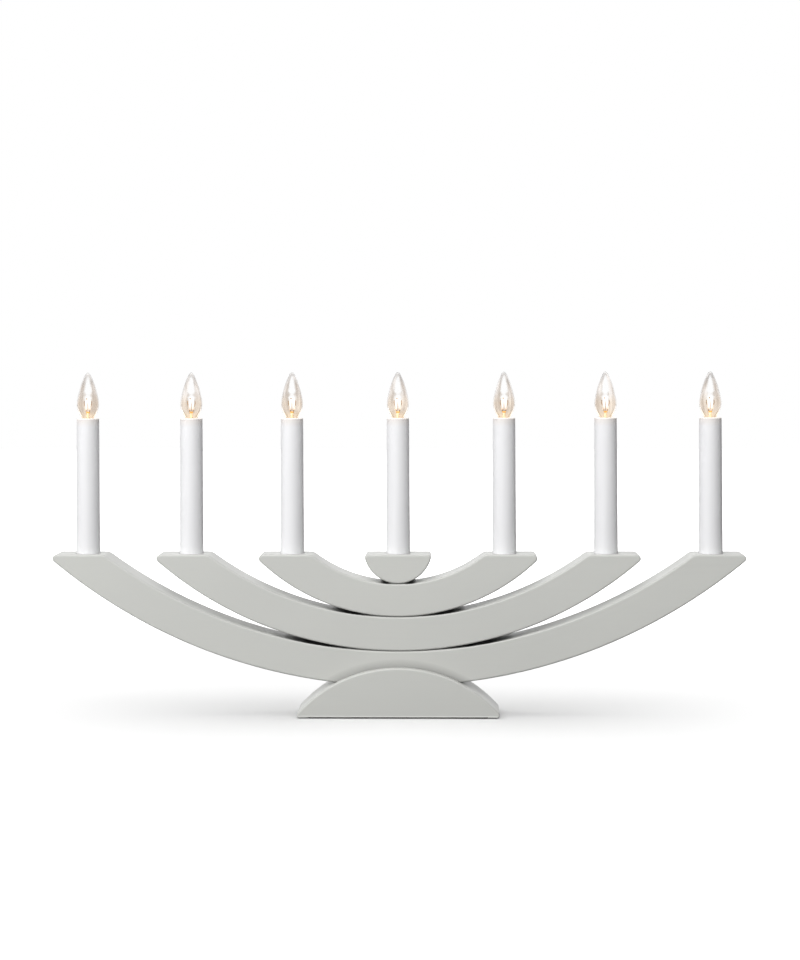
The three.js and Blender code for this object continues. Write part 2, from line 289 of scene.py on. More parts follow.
@dataclass(frozen=True)
class SatinPaint:
    """Sprayed satin paint on planed wood, with faint grain, a fine peel and painted light.

    It holds painted shade on the rounded edges, in the gaps between stacked pieces and along a
    crown that stands against the piece, and a painted highlight along the foot's lower edge. A gap
    is given by how far from the middle it opens, the painted highlight by the heights between which
    it ends, and a crown by its centre's height and its radius.
    """

    name: str
    colour: Colour = (0.572, 0.578, 0.548, 1)
    shade: Colour = (0.548, 0.553, 0.527, 1)
    # Painted shade on the rounded edges, a little darker than the faces, which tones down their
    # highlight.
    edge: Colour = (0.54, 0.545, 0.52, 1)
    # Painted shade on the face along a round crown that stands against the piece.
    grime: Colour = (0.27, 0.27, 0.26, 1)
    # Painted shade: near black on the faces in the gaps between stacked pieces.
    gap_tone: Colour = (0.012, 0.011, 0.01, 1)
    # Painted highlight: a paler tone along the foot's lower edge, where light catches the rounded
    # edge.
    bare: Colour = (0.74, 0.745, 0.715, 1)
    gap_above: float = 0.0
    gap_below: float = 0.0
    gap_inner: Pair = (0.36, 0.65)
    gap_outer: Pair = (0.85, 1.18)
    gap_least: float = 0.1
    gap_slant: Pair = (0.75, 0.92)
    crown: Pair = (0.0, 0.0)
    grime_reach: float = 6.0
    grime_share: float = 0.8
    rubbed: Pair = (0.0, 0.0)
    drift_scale: Triple = (9, 14, 14)
    grain_scale: Triple = (16, 230, 420)
    grain_ends: Pair = (0.5, 0.72)
    grain_share: float = 0.45
    grain_relief: Pair = (0.10, 0.05)
    peel_scale: Triple = (820, 820, 820)
    peel_relief: Pair = (0.16, 0.06)
    gloss_scale: Triple = (60, 60, 60)
    gloss: float = 0.5
    roughness: Pair = (0.295, 0.345)

    def make(self) -> bpy.types.Material:
        """Builds the material.

        Returns:
            The material.
        """
        draft = MaterialDraft(self.name)
        grain = draft.noise(self.grain_scale, detail=4)
        streaks_and_glints = draft.spread(grain, 0, self.grain_share, self.grain_ends)
        drift = draft.spread(draft.noise(self.drift_scale), *WHOLE)
        colour = draft.blend(drift, self.colour, self.shade)
        colour = draft.blend(streaks_and_glints, colour, self.shade)
        # Painted shade: rounded edges, as marked on the mesh, take the darker edge tone.
        colour = draft.blend(draft.attribute("edge"), colour, self.edge)
        # Painted highlight along the foot's lower edge, paler below the given heights.
        if self.rubbed[1] > 0:
            colour = draft.blend(draft.by_height(1, 0, self.rubbed), colour, self.bare)
        # Painted shade on the face just above the foot's crown, where the foot's lip shades it.
        if self.crown[1] > 0:
            colour = draft.blend(self.corner(draft), colour, self.grime)
        roughness = draft.spread(draft.noise(self.gloss_scale, detail=3), *self.roughness)
        # Painted shade: faces in the narrow gaps between stacked pieces go near black and rougher,
        # where shade falls.
        for reach, upward in ((self.gap_above, 1), (self.gap_below, -1)):
            if reach > 0:
                share = self.gap(draft, reach, upward)
                colour = draft.blend(share, colour, self.gap_tone)
                roughness = draft.sum("MAXIMUM", roughness, share)
        relief = draft.bump(grain, self.grain_relief)
        draft.shade(
            Base_Color=colour,
            Roughness=roughness,
            Normal=draft.bump(draft.noise(self.peel_scale), self.peel_relief, relief),
            Specular_IOR_Level=self.gloss,
        )
        return draft.material

    def gap(self, draft: MaterialDraft, reach: float, upward: int) -> Socket:
        """Share of painted shade, near black, where the gap to the piece above or below begins to
        open.

        Args:
            draft: the material.
            reach: from the middle to where the gap opens.
            upward: 1 for the gap above, -1 for the one below.

        Returns:
            The painted shade's share.
        """
        aside = draft.sum("ABSOLUTE", draft.axes(draft.place)["X"])
        near = draft.spread(aside, 1, 0, scaled(self.gap_outer, reach * MM))
        open_part = draft.spread(aside, self.gap_least, 1, scaled(self.gap_inner, reach * MM))
        facing = draft.axes(draft.add("ShaderNodeTexCoord").outputs["Normal"])["Z"]
        level = draft.spread(facing, *WHOLE, scaled(self.gap_slant, upward))
        return draft.sum("MULTIPLY", draft.sum("MULTIPLY", near, open_part), level)

    def corner(self, draft: MaterialDraft) -> Socket:
        """How much painted shade darkens the face along a round crown that stands against the
        piece.

        Args:
            draft: the material.

        Returns:
            The painted shade's share, most at the crown itself.
        """
        height, radius = scaled(self.crown, MM)
        upright = draft.along("MULTIPLY_ADD", draft.place, (1, 0, 1), (0, 0, -height))
        ends = (radius, radius + self.grime_reach * MM)
        return draft.spread(draft.along("LENGTH", upright), self.grime_share, 0, ends)


@dataclass(frozen=True)
class MouldedPlastic:
    """Moulded plastic or pressed glass with a soft gloss and flow lines; some of it has a painted
    warm tint from the bulb's light and a painted glow.
    """

    name: str
    colour: Colour
    flow: Colour
    roughness: Pair
    gloss: float = 0.5
    # Painted light: a warm tint that rises towards the sleeve's rim stands in for warm light from
    # the bulb.
    heated: Colour = (0.80, 0.68, 0.58, 1)
    heated_from: Pair = (0.0, 0.0)
    heated_share: float = 0.4
    # Painted light: an emission glow where the filament's light would fall, on parts that are no
    # lamps.
    lit: Colour = (1.0, 0.96, 0.91, 1)
    lit_from: Pair = (0.0, 0.0)
    glow: float = 0.0
    flow_scale: Triple = (240, 240, 14)
    flow_relief: Pair = (0.12, 0.05)
    mottle_scale: Triple = (90, 90, 60)

    def make(self) -> bpy.types.Material:
        """Builds the material.

        Returns:
            The material.
        """
        draft = MaterialDraft(self.name)
        flow = draft.noise(self.flow_scale, detail=3)
        colour = draft.blend(draft.spread(flow, *WHOLE), self.colour, self.flow)
        # Painted warm light from the bulb, rising towards the rim.
        if self.heated_from[1] > 0:
            painted_warmth_share = draft.by_height(0, self.heated_share, self.heated_from)
            colour = draft.blend(painted_warmth_share, colour, self.heated)
        # Painted glow: emission stands in for the filament's light on the sleeve's rim, the stem
        # and the bead.
        if self.glow > 0:
            by_height = self.lit_from[1] > 0
            shine = draft.by_height(0, self.glow, self.lit_from) if by_height else self.glow
            draft.shade(Emission_Color=self.lit, Emission_Strength=shine)
        draft.shade(
            Base_Color=colour,
            Roughness=draft.spread(draft.noise(self.mottle_scale), *self.roughness),
            Normal=draft.bump(flow, self.flow_relief),
            Specular_IOR_Level=self.gloss,
        )
        return draft.material


@dataclass(frozen=True)
class ClearGlass:
    """Clear blown glass with painted light in its tint: grey painted refraction shade where it is
    seen on edge, painted glints, and a painted warm glow round the filament.
    """

    name: str = "bulb_glass"
    # The colours below are painted light: refraction shade on the sides, at the tip and on edge,
    # pale glints, and a warm glow round the filament and at the neck.
    clear: Colour = (1.0, 1.0, 1.0, 1)
    warm: Colour = (0.81, 0.745, 0.68, 1)
    side: Colour = (0.775, 0.73, 0.69, 1)
    high: Colour = (0.70, 0.685, 0.675, 1)
    edge: Colour = (0.70, 0.685, 0.68, 1)
    low_edge: Colour = (0.84, 0.79, 0.75, 1)
    streak: Colour = (0.985, 0.96, 0.94, 1)
    low_streak: Colour = (0.99, 0.93, 0.86, 1)
    neck: Colour = (0.975, 0.87, 0.74, 1)
    neck_share: float = 0.85
    neck_top: Pair = (217.0, 221.0)
    warm_top: Pair = (226.0, 233.0)
    high_from: Pair = (238.0, 245.0)
    waist: float = 232.6
    waist_ends: Pair = (0.5, 2.2)
    low_lean: float = 0.09
    waist_lean: float = 0.06
    clear_lean: Pair = (0.08, 0.14)
    edge_slant: Pair = (0.5, 0.85)
    streak_scale: Triple = (260, 260, 28)
    streak_ends: Pair = (0.47, 0.57)
    ripple_scale: Triple = (150, 150, 60)
    ripple_relief: Pair = (0.10, 0.2)
    refraction: float = 1.2
    roughness: Pair = (0.0, 0.02)

    def make(self) -> bpy.types.Material:
        """Builds the material.

        Returns:
            The material.
        """
        draft = MaterialDraft(self.name)
        # Painted refraction: the tint follows how squarely the glass faces the eye, clear in the
        # middle and grey towards the sides and tip.
        slant = draft.add("ShaderNodeLayerWeight", Blend=0.5).outputs["Facing"]
        low = draft.by_height(1, 0, self.warm_top)
        lean = draft.sum("MULTIPLY_ADD", low, self.low_lean, slant)
        lean = draft.sum("MULTIPLY_ADD", self.waisted(draft), self.waist_lean, lean)
        wall = draft.blend(draft.by_height(0, 1, self.high_from), self.side, self.high)
        # Painted warm glow round the filament: the lower wall takes a warm tint.
        wall = draft.blend(low, wall, self.warm)
        # Painted glints: pale bands on the wall stand in for reflections of light.
        streaks_and_glints = draft.spread(draft.noise(self.streak_scale), *WHOLE, self.streak_ends)
        wall = draft.blend(streaks_and_glints, wall, draft.blend(low, self.streak, self.low_streak))
        tint = draft.blend(draft.spread(lean, *WHOLE, self.clear_lean), self.clear, wall)
        # Painted refraction shade where the glass is seen on edge, warmer low down.
        rim = draft.blend(low, self.edge, self.low_edge)
        tint = draft.blend(draft.spread(slant, *WHOLE, self.edge_slant), tint, rim)
        # Painted warm glow at the neck, where the filament's light falls on it.
        tint = draft.blend(draft.by_height(self.neck_share, 0, self.neck_top), tint, self.neck)
        ripple = draft.noise(self.ripple_scale, detail=1)
        draft.shade(
            Base_Color=tint,
            Transmission_Weight=1.0,
            IOR=self.refraction,
            Roughness=draft.spread(ripple, *self.roughness),
            Normal=draft.bump(ripple, self.ripple_relief),
        )
        return draft.material

    def waisted(self, draft: MaterialDraft) -> Socket:
        """1 at the height where the clear middle narrows, and 0 away from it.

        Args:
            draft: the material.

        Returns:
            The share.
        """
        away = draft.sum("SUBTRACT", draft.axes(draft.place)["Z"], self.waist * MM)
        return draft.spread(draft.sum("ABSOLUTE", away), 1, 0, scaled(self.waist_ends, MM))


@dataclass(frozen=True)
class GlowingWire:
    """Tungsten at working heat, whiter in the middle of the coil than at its cool ends."""

    name: str = "glowing_filament"
    metal: Colour = (0.25, 0.22, 0.2, 1)
    hot: Colour = (1.0, 0.97, 0.92, 1)
    cool: Colour = (1.0, 0.55, 0.18, 1)
    strength: Pair = (0.8, 1.15)
    warm_up: Pair = (220.0, 222.4)
    roughness: Pair = (0.42, 0.58)
    patch_scale: Triple = (2400, 2400, 2400)
    pit_scale: Triple = (5200, 5200, 5200)
    pit_relief: Pair = (0.2, 0.02)

    def make(self) -> bpy.types.Material:
        """Builds the material.

        Returns:
            The material.
        """
        draft = MaterialDraft(self.name)
        heat = draft.by_height(0, 1, self.warm_up)
        draft.shade(
            Base_Color=self.metal,
            Roughness=draft.spread(draft.noise(self.patch_scale), *self.roughness),
            Normal=draft.bump(draft.noise(self.pit_scale), self.pit_relief),
            Metallic=1.0,
            Emission_Color=draft.blend(heat, self.cool, self.hot),
            Emission_Strength=draft.spread(heat, *self.strength, WHOLE),
        )
        return draft.material


@dataclass(frozen=True)
class WorkedMetal:
    """Plated or drawn metal with fine turning marks and a duller bloom in patches."""

    name: str
    colour: Colour
    bloom: Colour
    roughness: Pair
    patch_scale: Triple = (420, 420, 420)
    patch_ends: Pair = (0.42, 0.68)
    mark_scale: Triple = (300, 300, 5200)
    mark_relief: Pair = (0.18, 0.03)

    def make(self) -> bpy.types.Material:
        """Builds the material.

        Returns:
            The material.
        """
        draft = MaterialDraft(self.name)
        patches = draft.spread(draft.noise(self.patch_scale, detail=3), *WHOLE, self.patch_ends)
        draft.shade(
            Base_Color=draft.blend(patches, self.colour, self.bloom),
            Metallic=1.0,
            Roughness=draft.spread(patches, *self.roughness, WHOLE),
            Normal=draft.bump(draft.noise(self.mark_scale), self.mark_relief),
        )
        return draft.material


@dataclass(frozen=True)
class WoolFelt:
    """Pressed wool felt with lighter fibres through it."""

    name: str = "wool_felt"
    colour: Colour = (0.17, 0.165, 0.16, 1)
    fibre: Colour = (0.27, 0.262, 0.255, 1)
    fibre_scale: Triple = (900, 2600, 1500)
    fibre_ends: Pair = (0.45, 0.7)
    fibre_relief: Pair = (0.7, 0.3)
    tuft_scale: Triple = (420, 420, 420)
    tuft_relief: Pair = (0.5, 0.4)
    sheen: float = 0.4
    sheen_roughness: float = 0.5
    roughness: Pair = (0.9, 0.99)

    def make(self) -> bpy.types.Material:
        """Builds the material.

        Returns:
            The material.
        """
        draft = MaterialDraft(self.name)
        fibres = draft.noise(self.fibre_scale, detail=5)
        tufts = draft.noise(self.tuft_scale, detail=3)
        pale = draft.spread(fibres, *WHOLE, self.fibre_ends)
        draft.shade(
            Base_Color=draft.blend(pale, self.colour, self.fibre),
            Roughness=draft.spread(tufts, *self.roughness),
            Normal=draft.bump(fibres, self.fibre_relief, draft.bump(tufts, self.tuft_relief)),
            Sheen_Weight=self.sheen,
            Sheen_Roughness=self.sheen_roughness,
        )
        return draft.material


@dataclass(frozen=True)
class PlainBeech:
    """Bare beech with short flecks along the grain."""

    name: str = "plain_beech"
    colour: Colour = (0.58, 0.38, 0.20, 1)
    fleck: Colour = (0.40, 0.23, 0.11, 1)
    fleck_scale: Triple = (900, 900, 130)
    fleck_ends: Pair = (0.5, 0.66)
    fleck_relief: Pair = (0.3, 0.08)
    roughness: Pair = (0.6, 0.75)

    def make(self) -> bpy.types.Material:
        """Builds the material.

        Returns:
            The material.
        """
        draft = MaterialDraft(self.name)
        flecks = draft.noise(self.fleck_scale, detail=3)
        dark = draft.spread(flecks, *WHOLE, self.fleck_ends)
        draft.shade(
            Base_Color=draft.blend(dark, self.colour, self.fleck),
            Roughness=draft.spread(flecks, *self.roughness),
            Normal=draft.bump(flecks, self.fleck_relief),
        )
        return draft.material


Finish = (
    SatinPaint | MouldedPlastic | ClearGlass | GlowingWire | WorkedMetal | WoolFelt | PlainBeech
)

# Painted light: a highlight along the foot's lower edge, shade in the gaps and along the foot's
# crown.
STAND_PAINTS = {
    "foot": SatinPaint("satin_paint_foot", rubbed=(1.6, 2.3)),
    "lower_arc": SatinPaint("satin_paint_lower", gap_above=78.0, crown=(-61.5, 97.5)),
    "middle_arc": SatinPaint("satin_paint_middle", gap_above=45.0, gap_below=78.0),
    "upper_arc": SatinPaint("satin_paint_upper", gap_above=12.0, gap_below=45.0),
    "centre_cup": SatinPaint("satin_paint_cup", gap_below=12.0),
}
# The sleeves have a painted warm tint towards the rim and a painted glow on the rim, both standing
# in for the bulb's light.
SLEEVE_PLASTIC = MouldedPlastic(
    "sleeve_plastic",
    (0.82, 0.82, 0.83, 1),
    (0.80, 0.80, 0.81, 1),
    (0.45, 0.57),
    gloss=0.1,
    heated_from=(209.0, 215.0),
    lit_from=(214.4, 215.3),
    glow=0.35,
)
HOLDER_PLASTIC = MouldedPlastic(
    "holder_plastic", (0.76, 0.74, 0.69, 1), (0.71, 0.69, 0.64, 1), (0.43, 0.55)
)
# The stem is an opaque pale amber with a painted glow, standing in for clear glass lit by the
# filament.
STEM_GLASS = MouldedPlastic(
    "stem_glass",
    (0.95, 0.85, 0.66, 1),
    (0.92, 0.78, 0.55, 1),
    (0.25, 0.37),
    lit=(1.0, 0.8, 0.5, 1),
    glow=0.3,
)
# The bead has a painted glow standing in for the filament's light on it.
BEAD = MouldedPlastic(
    "amber_bead",
    (0.92, 0.55, 0.18, 1),
    (0.84, 0.47, 0.13, 1),
    (0.25, 0.37),
    lit=(1.0, 0.5, 0.12, 1),
    glow=0.25,
)
BULB_GLASS = ClearGlass()
FILAMENT = GlowingWire()
NICKEL = WorkedMetal("nickel_plate", (0.66, 0.63, 0.57, 1), (0.55, 0.51, 0.45, 1), (0.22, 0.36))
BRASS = WorkedMetal("drawn_brass", (0.70, 0.47, 0.17, 1), (0.55, 0.36, 0.14, 1), (0.26, 0.40))
SOLDER = WorkedMetal("dull_solder", (0.50, 0.50, 0.49, 1), (0.40, 0.40, 0.39, 1), (0.34, 0.48))
ZINC = WorkedMetal("zinc_plate", (0.62, 0.64, 0.67, 1), (0.52, 0.53, 0.54, 1), (0.32, 0.46))
LEAD_WIRE = WorkedMetal("lead_wire", (0.50, 0.27, 0.08, 1), (0.42, 0.21, 0.06, 1), (0.4, 0.54))
FELT = WoolFelt()
BEECH = PlainBeech()


def material_of(finish: Finish) -> bpy.types.Material:
    """The finish's material, made the first time it is asked for."""
    return bpy.data.materials.get(finish.name) or finish.make()


class Corner(NamedTuple):
    """Corner of a turned profile; it is rounded off from this far on each side of it."""

    radius: float
    height: float
    round_off: float = 0.0


class RimPoint(NamedTuple):
    """Point of a slab's outline with its outward direction."""

    x: float
    z: float
    nx: float
    nz: float

    def mirrored(self) -> "RimPoint":
        """The same point on the other side of the middle."""
        return RimPoint(-self.x, self.z, -self.nx, self.nz)

    def upturned(self) -> "RimPoint":
        """The same point below the floor's level."""
        return RimPoint(self.x, -self.z, self.nx, -self.nz)


def softened(corners: list[Corner], closed: bool = False, steps: int = 4) -> Profile:
    """Rounds off the corners of a profile.

    Args:
        corners: the corners in order.
        closed: whether the last one joins the first.
        steps: facets of a rounded corner.

    Returns:
        Points of radius and height.
    """
    points: Profile = []
    for index, corner in enumerate(corners):
        here = Vector(corner[:2])
        lone_end = not closed and index in (0, len(corners) - 1)
        if corner.round_off <= 0 or lone_end:
            points.append(tuple(here))
            continue
        before = Vector(corners[index - 1][:2])
        after = Vector(corners[(index + 1) % len(corners)][:2])
        start = here + (before - here).normalized() * corner.round_off
        end = here + (after - here).normalized() * corner.round_off
        for step in range(steps + 1):
            share = step / steps
            points.append(tuple(start.lerp(here, share).lerp(here.lerp(end, share), share)))
    return points


def bezier(a: Vector, b: Vector, c: Vector, d: Vector, steps: int) -> list[Vector]:
    """Points along a cubic curve.

    Args:
        a: where it starts.
        b: the start's handle.
        c: the end's handle.
        d: where it ends.
        steps: pieces that the curve is cut into.

    Returns:
        The points, both ends among them.
    """
    points = []
    for step in range(steps + 1):
        t = step / steps
        s = 1 - t
        points.append(a * s**3 + b * (3 * s * s * t) + c * (3 * s * t * t) + d * t**3)
    return points


def angles_round(sides: int) -> list[float]:
    """Angles of the corners of a ring."""
    return [FULL_TURN * index / sides for index in range(sides)]


def lofted(outlines: list[list[Vector]], closed: bool = False) -> BMesh:
    """Joins outlines into one closed skin.

    Args:
        outlines: rings of as many points each, in order; a ring of one point is a pole.
        closed: whether the last ring joins the first; otherwise the end rings are filled.

    Returns:
        The mesh, in metres.
    """
    mesh = bmesh.new()
    rings = [[mesh.verts.new(spot * MM) for spot in outline] for outline in outlines]
    sides = max(len(ring) for ring in rings)
    pairs = list(zip(rings, rings[1:]))
    if closed:
        pairs.append((rings[-1], rings[0]))
    for lower, upper in pairs:
        for index in range(sides):
            after = (index + 1) % sides
            spots = [lower[index % len(lower)], lower[after % len(lower)]]
            spots += [upper[after % len(upper)], upper[index % len(upper)]]
            spots = list(dict.fromkeys(spots))
            if len(spots) > 2:
                mesh.faces.new(spots)
    ends = [] if closed else [rings[0], rings[-1]]
    for ring in ends:
        if len(ring) > 2:
            mesh.faces.new(ring)
    bmesh.ops.recalc_face_normals(mesh, faces=mesh.faces)
    return mesh


def turned(profile: Profile, sides: int, closed: bool = False) -> BMesh:
    """Turns a profile about the Z axis.

    Args:
        profile: radius and height of its points; a radius of 0 closes the end.
        sides: facets round the axis.
        closed: whether the last point joins the first, as for a ring.

    Returns:
        The turned mesh, in metres.
    """
    outlines = []
    for radius, height in profile:
        angles = angles_round(sides) if radius > ON_AXIS else [0.0]
        outlines.append(
            [Vector((radius * math.cos(a), radius * math.sin(a), height)) for a in angles]
        )
    return lofted(outlines, closed)


def swept(route: list[Vector], radius: float, sides: int = 8) -> BMesh:
    """A round wire along a route in the XZ plane.

    Args:
        route: its centre line.
        radius: of the wire.
        sides: facets round it.

    Returns:
        The wire's closed mesh, in metres.
    """
    across = Vector((0, 1, 0))
    outlines = []
    for index, spot in enumerate(route):
        along = route[min(index + 1, len(route) - 1)] - route[max(index - 1, 0)]
        beside = along.normalized().cross(across)
        ways = [beside * math.cos(a) + across * math.sin(a) for a in angles_round(sides)]
        outlines.append([spot + way * radius for way in ways])
    return lofted(outlines)


def settled(mesh: BMesh) -> Mesh:
    """Turns a bmesh, which is used up, into a mesh.

    Args:
        mesh: the bmesh.

    Returns:
        The mesh.
    """
    data = bpy.data.meshes.new("settled")
    mesh.to_mesh(data)
    mesh.free()
    return data


def object_of(name: str, mesh: BMesh | Mesh) -> Piece:
    """Puts a mesh into the scene at the origin.

    Args:
        name: the object's name.
        mesh: its mesh; a bmesh is used up.

    Returns:
        The object.
    """
    data = settled(mesh) if isinstance(mesh, BMesh) else mesh
    data.name = name
    thing = bpy.data.objects.new(name, data)
    bpy.context.scene.collection.objects.link(thing)
    return thing


def smoothed(mesh: Mesh) -> Mesh:
    """Shades a mesh smooth, with its sharp corners kept.

    Args:
        mesh: the mesh.

    Returns:
        The same mesh.
    """
    mesh.shade_smooth()
    mesh.set_sharp_from_angle(angle=SHARP_ANGLE)
    return mesh


def merged(parts: list[Mesh]) -> Mesh:
    """Puts several meshes into one.

    Args:
        parts: the meshes, which are used up.

    Returns:
        The whole.
    """
    whole = bmesh.new()
    for part in parts:
        whole.from_mesh(part)
        bpy.data.meshes.remove(part)
    return settled(whole)


def baked(thing: Piece) -> Mesh:
    """Turns an object with modifiers into a plain mesh and removes the object.

    Args:
        thing: the object, with its modifiers set.

    Returns:
        The mesh that the modifiers make.
    """
    depsgraph = bpy.context.evaluated_depsgraph_get()
    shape = thing.evaluated_get(depsgraph)
    mesh = bpy.data.meshes.new_from_object(
        shape, preserve_all_data_layers=True, depsgraph=depsgraph
    )
    thing.modifiers.clear()
    bpy.data.objects.remove(thing)
    return mesh


def carved(body: BMesh, cutters: list[BMesh]) -> Mesh:
    """Cuts shapes out of a body.

    Args:
        body: the closed body.
        cutters: closed shapes to cut away.

    Returns:
        The carved mesh.
    """
    thing = object_of("carved", body)
    tools = []
    for cutter in cutters:
        tool = object_of("cutter", cutter)
        cut = thing.modifiers.new("cut", "BOOLEAN")
        cut.operation = "DIFFERENCE"
        cut.solver = "EXACT"
        cut.object = tool
        tools.append(tool)
    mesh = baked(thing)
    for tool in tools:
        bpy.data.objects.remove(tool)
    return mesh


def presented(
    name: str, mesh: Mesh, finish: Finish, body: str, nodes: list[str]
) -> Piece:
    """Makes a finished piece of a mesh, hangs it on its body and hides the CAD nodes it stands for.

    Args:
        name: the piece's name.
        mesh: its mesh, in place.
        finish: what it is finished in.
        body: the CAD body that it rides on.
        nodes: CAD nodes that it stands for.

    Returns:
        The piece.
    """
    piece = object_of(name, mesh)
    mesh.materials.clear()
    mesh.materials.append(material_of(finish))
    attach(piece, body)
    if nodes:
        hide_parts(*nodes)
    stands_for = ", ".join(nodes) or "no node"
    log.info("%s: %d faces, on %s, for %s", name, len(mesh.polygons), body, stands_for)
    return piece


class GeometryDraft(NodeDraft):
    """A Geometry Nodes tree in the making."""

    def __init__(self, name: str, inputs: dict[str, str]) -> None:
        """Starts a tree with one geometry input and output and named inputs for its sizes.

        Args:
            name: the tree's name.
            inputs: socket type of each named input.
        """
        super().__init__(bpy.data.node_groups.new(name, "GeometryNodeTree"))
        face = self.tree.interface
        for label, kind in {"Geometry": "Geometry", **inputs, "Finish": "Material"}.items():
            face.new_socket(label, in_out="INPUT", socket_type="NodeSocket" + kind)
        face.new_socket("Geometry", in_out="OUTPUT", socket_type="NodeSocketGeometry")
        self.given = self.add("NodeGroupInput").outputs

    def close(self, geometry: Socket) -> Tree:
        """Ends the tree in real geometry with its finish set.

        Args:
            geometry: what the tree has made.

        Returns:
            The finished tree.
        """
        real = self.add("GeometryNodeRealizeInstances", Geometry=geometry).outputs["Geometry"]
        dressed = self.add("GeometryNodeSetMaterial", Geometry=real, Material=self.given["Finish"])
        self.add("NodeGroupOutput", Geometry=dressed.outputs["Geometry"])
        return self.tree


def grown(base: Piece, tree: Tree, values: dict[str, object]) -> Piece:
    """Gives an object a Geometry Nodes modifier with its inputs set.

    Args:
        base: the object.
        tree: the tree.
        values: the named inputs.

    Returns:
        The object, not yet evaluated.
    """
    modifier = base.modifiers.new(tree.name, "NODES")
    modifier.node_group = tree
    for item in tree.interface.items_tree:
        if item.item_type == "SOCKET" and item.in_out == "INPUT" and item.name in values:
            modifier[item.identifier] = values[item.name]
    return base


def sized(sizes: dict[str, float], finish: Finish) -> dict[str, object]:
    """Inputs of a tree: its sizes, from millimetres, and its finish."""
    return {name: size * MM for name, size in sizes.items()} | {"Finish": material_of(finish)}


def row_tree() -> Tree:
    """Tree that stands a piece at every candle's place, or at one of them.

    Returns:
        The tree. Station 0 takes all places, and a number takes that candle's.
    """
    draft = GeometryDraft("candle_row", {"Piece": "Object", "Station": "Int"})
    station = draft.given["Station"]
    number = draft.sum("ADD", draft.add("GeometryNodeInputIndex").outputs[0], 1.0)
    wanted = draft.sum("COMPARE", number, station, 0.1)
    every = draft.sum("LESS_THAN", station, 0.5)
    piece = draft.add("GeometryNodeObjectInfo", As_Instance=True, Object=draft.given["Piece"])
    copies = draft.add(
        "GeometryNodeInstanceOnPoints",
        Points=draft.given["Geometry"],
        Selection=draft.sum("MAXIMUM", wanted, every),
        Instance=piece.outputs["Geometry"],
    )
    return draft.close(copies.outputs["Instances"])


def thread_tree() -> Tree:
    """Tree of a rolled sheet-metal screw thread, plain at both ends.

    Returns:
        The tree. Its sizes are in metres and its bottom is a height.
    """
    sizes = dict.fromkeys(("Radius", "Depth", "Pitch", "Length", "Bottom"), "Float")
    draft = GeometryDraft("rolled_thread", sizes)
    given = draft.given
    around, upward = THREAD_GRID
    sheet = draft.add(
        "GeometryNodeMeshGrid", Size_X=1.0, Size_Y=1.0, Vertices_X=around, Vertices_Y=upward
    )
    flat = draft.axes(draft.add("GeometryNodeInputPosition").outputs[0])
    turn = draft.sum("ADD", flat["X"], 0.5)
    share = draft.sum("ADD", flat["Y"], 0.5)
    climb = draft.sum("MULTIPLY", share, given["Length"])
    plain_ends = ((0.0, 0.14), (1.0, 0.84))
    fades = [draft.spread(share, *WHOLE, ends, smooth=True) for ends in plain_ends]
    phase = draft.sum("SUBTRACT", draft.sum("DIVIDE", climb, given["Pitch"]), turn)
    wave = draft.sum("COSINE", draft.sum("MULTIPLY", phase, FULL_TURN))
    groove = draft.sum("SUBTRACT", 0.5, draft.sum("MULTIPLY", wave, 0.5))
    groove = draft.sum("MULTIPLY", groove, draft.sum("MULTIPLY", *fades))
    sunk = draft.sum("MULTIPLY", groove, given["Depth"])
    radius = draft.sum("SUBTRACT", given["Radius"], sunk)
    angle = draft.sum("MULTIPLY", turn, FULL_TURN)
    spot = draft.add(
        "ShaderNodeCombineXYZ",
        X=draft.sum("MULTIPLY", radius, draft.sum("COSINE", angle)),
        Y=draft.sum("MULTIPLY", radius, draft.sum("SINE", angle)),
        Z=draft.sum("ADD", climb, given["Bottom"]),
    ).outputs["Vector"]
    tube = draft.add("GeometryNodeSetPosition", Geometry=sheet.outputs["Mesh"], Position=spot)
    closed = draft.add(
        "GeometryNodeMergeByDistance", Geometry=tube.outputs["Geometry"], Distance=WELD
    )
    return draft.close(closed.outputs["Geometry"])


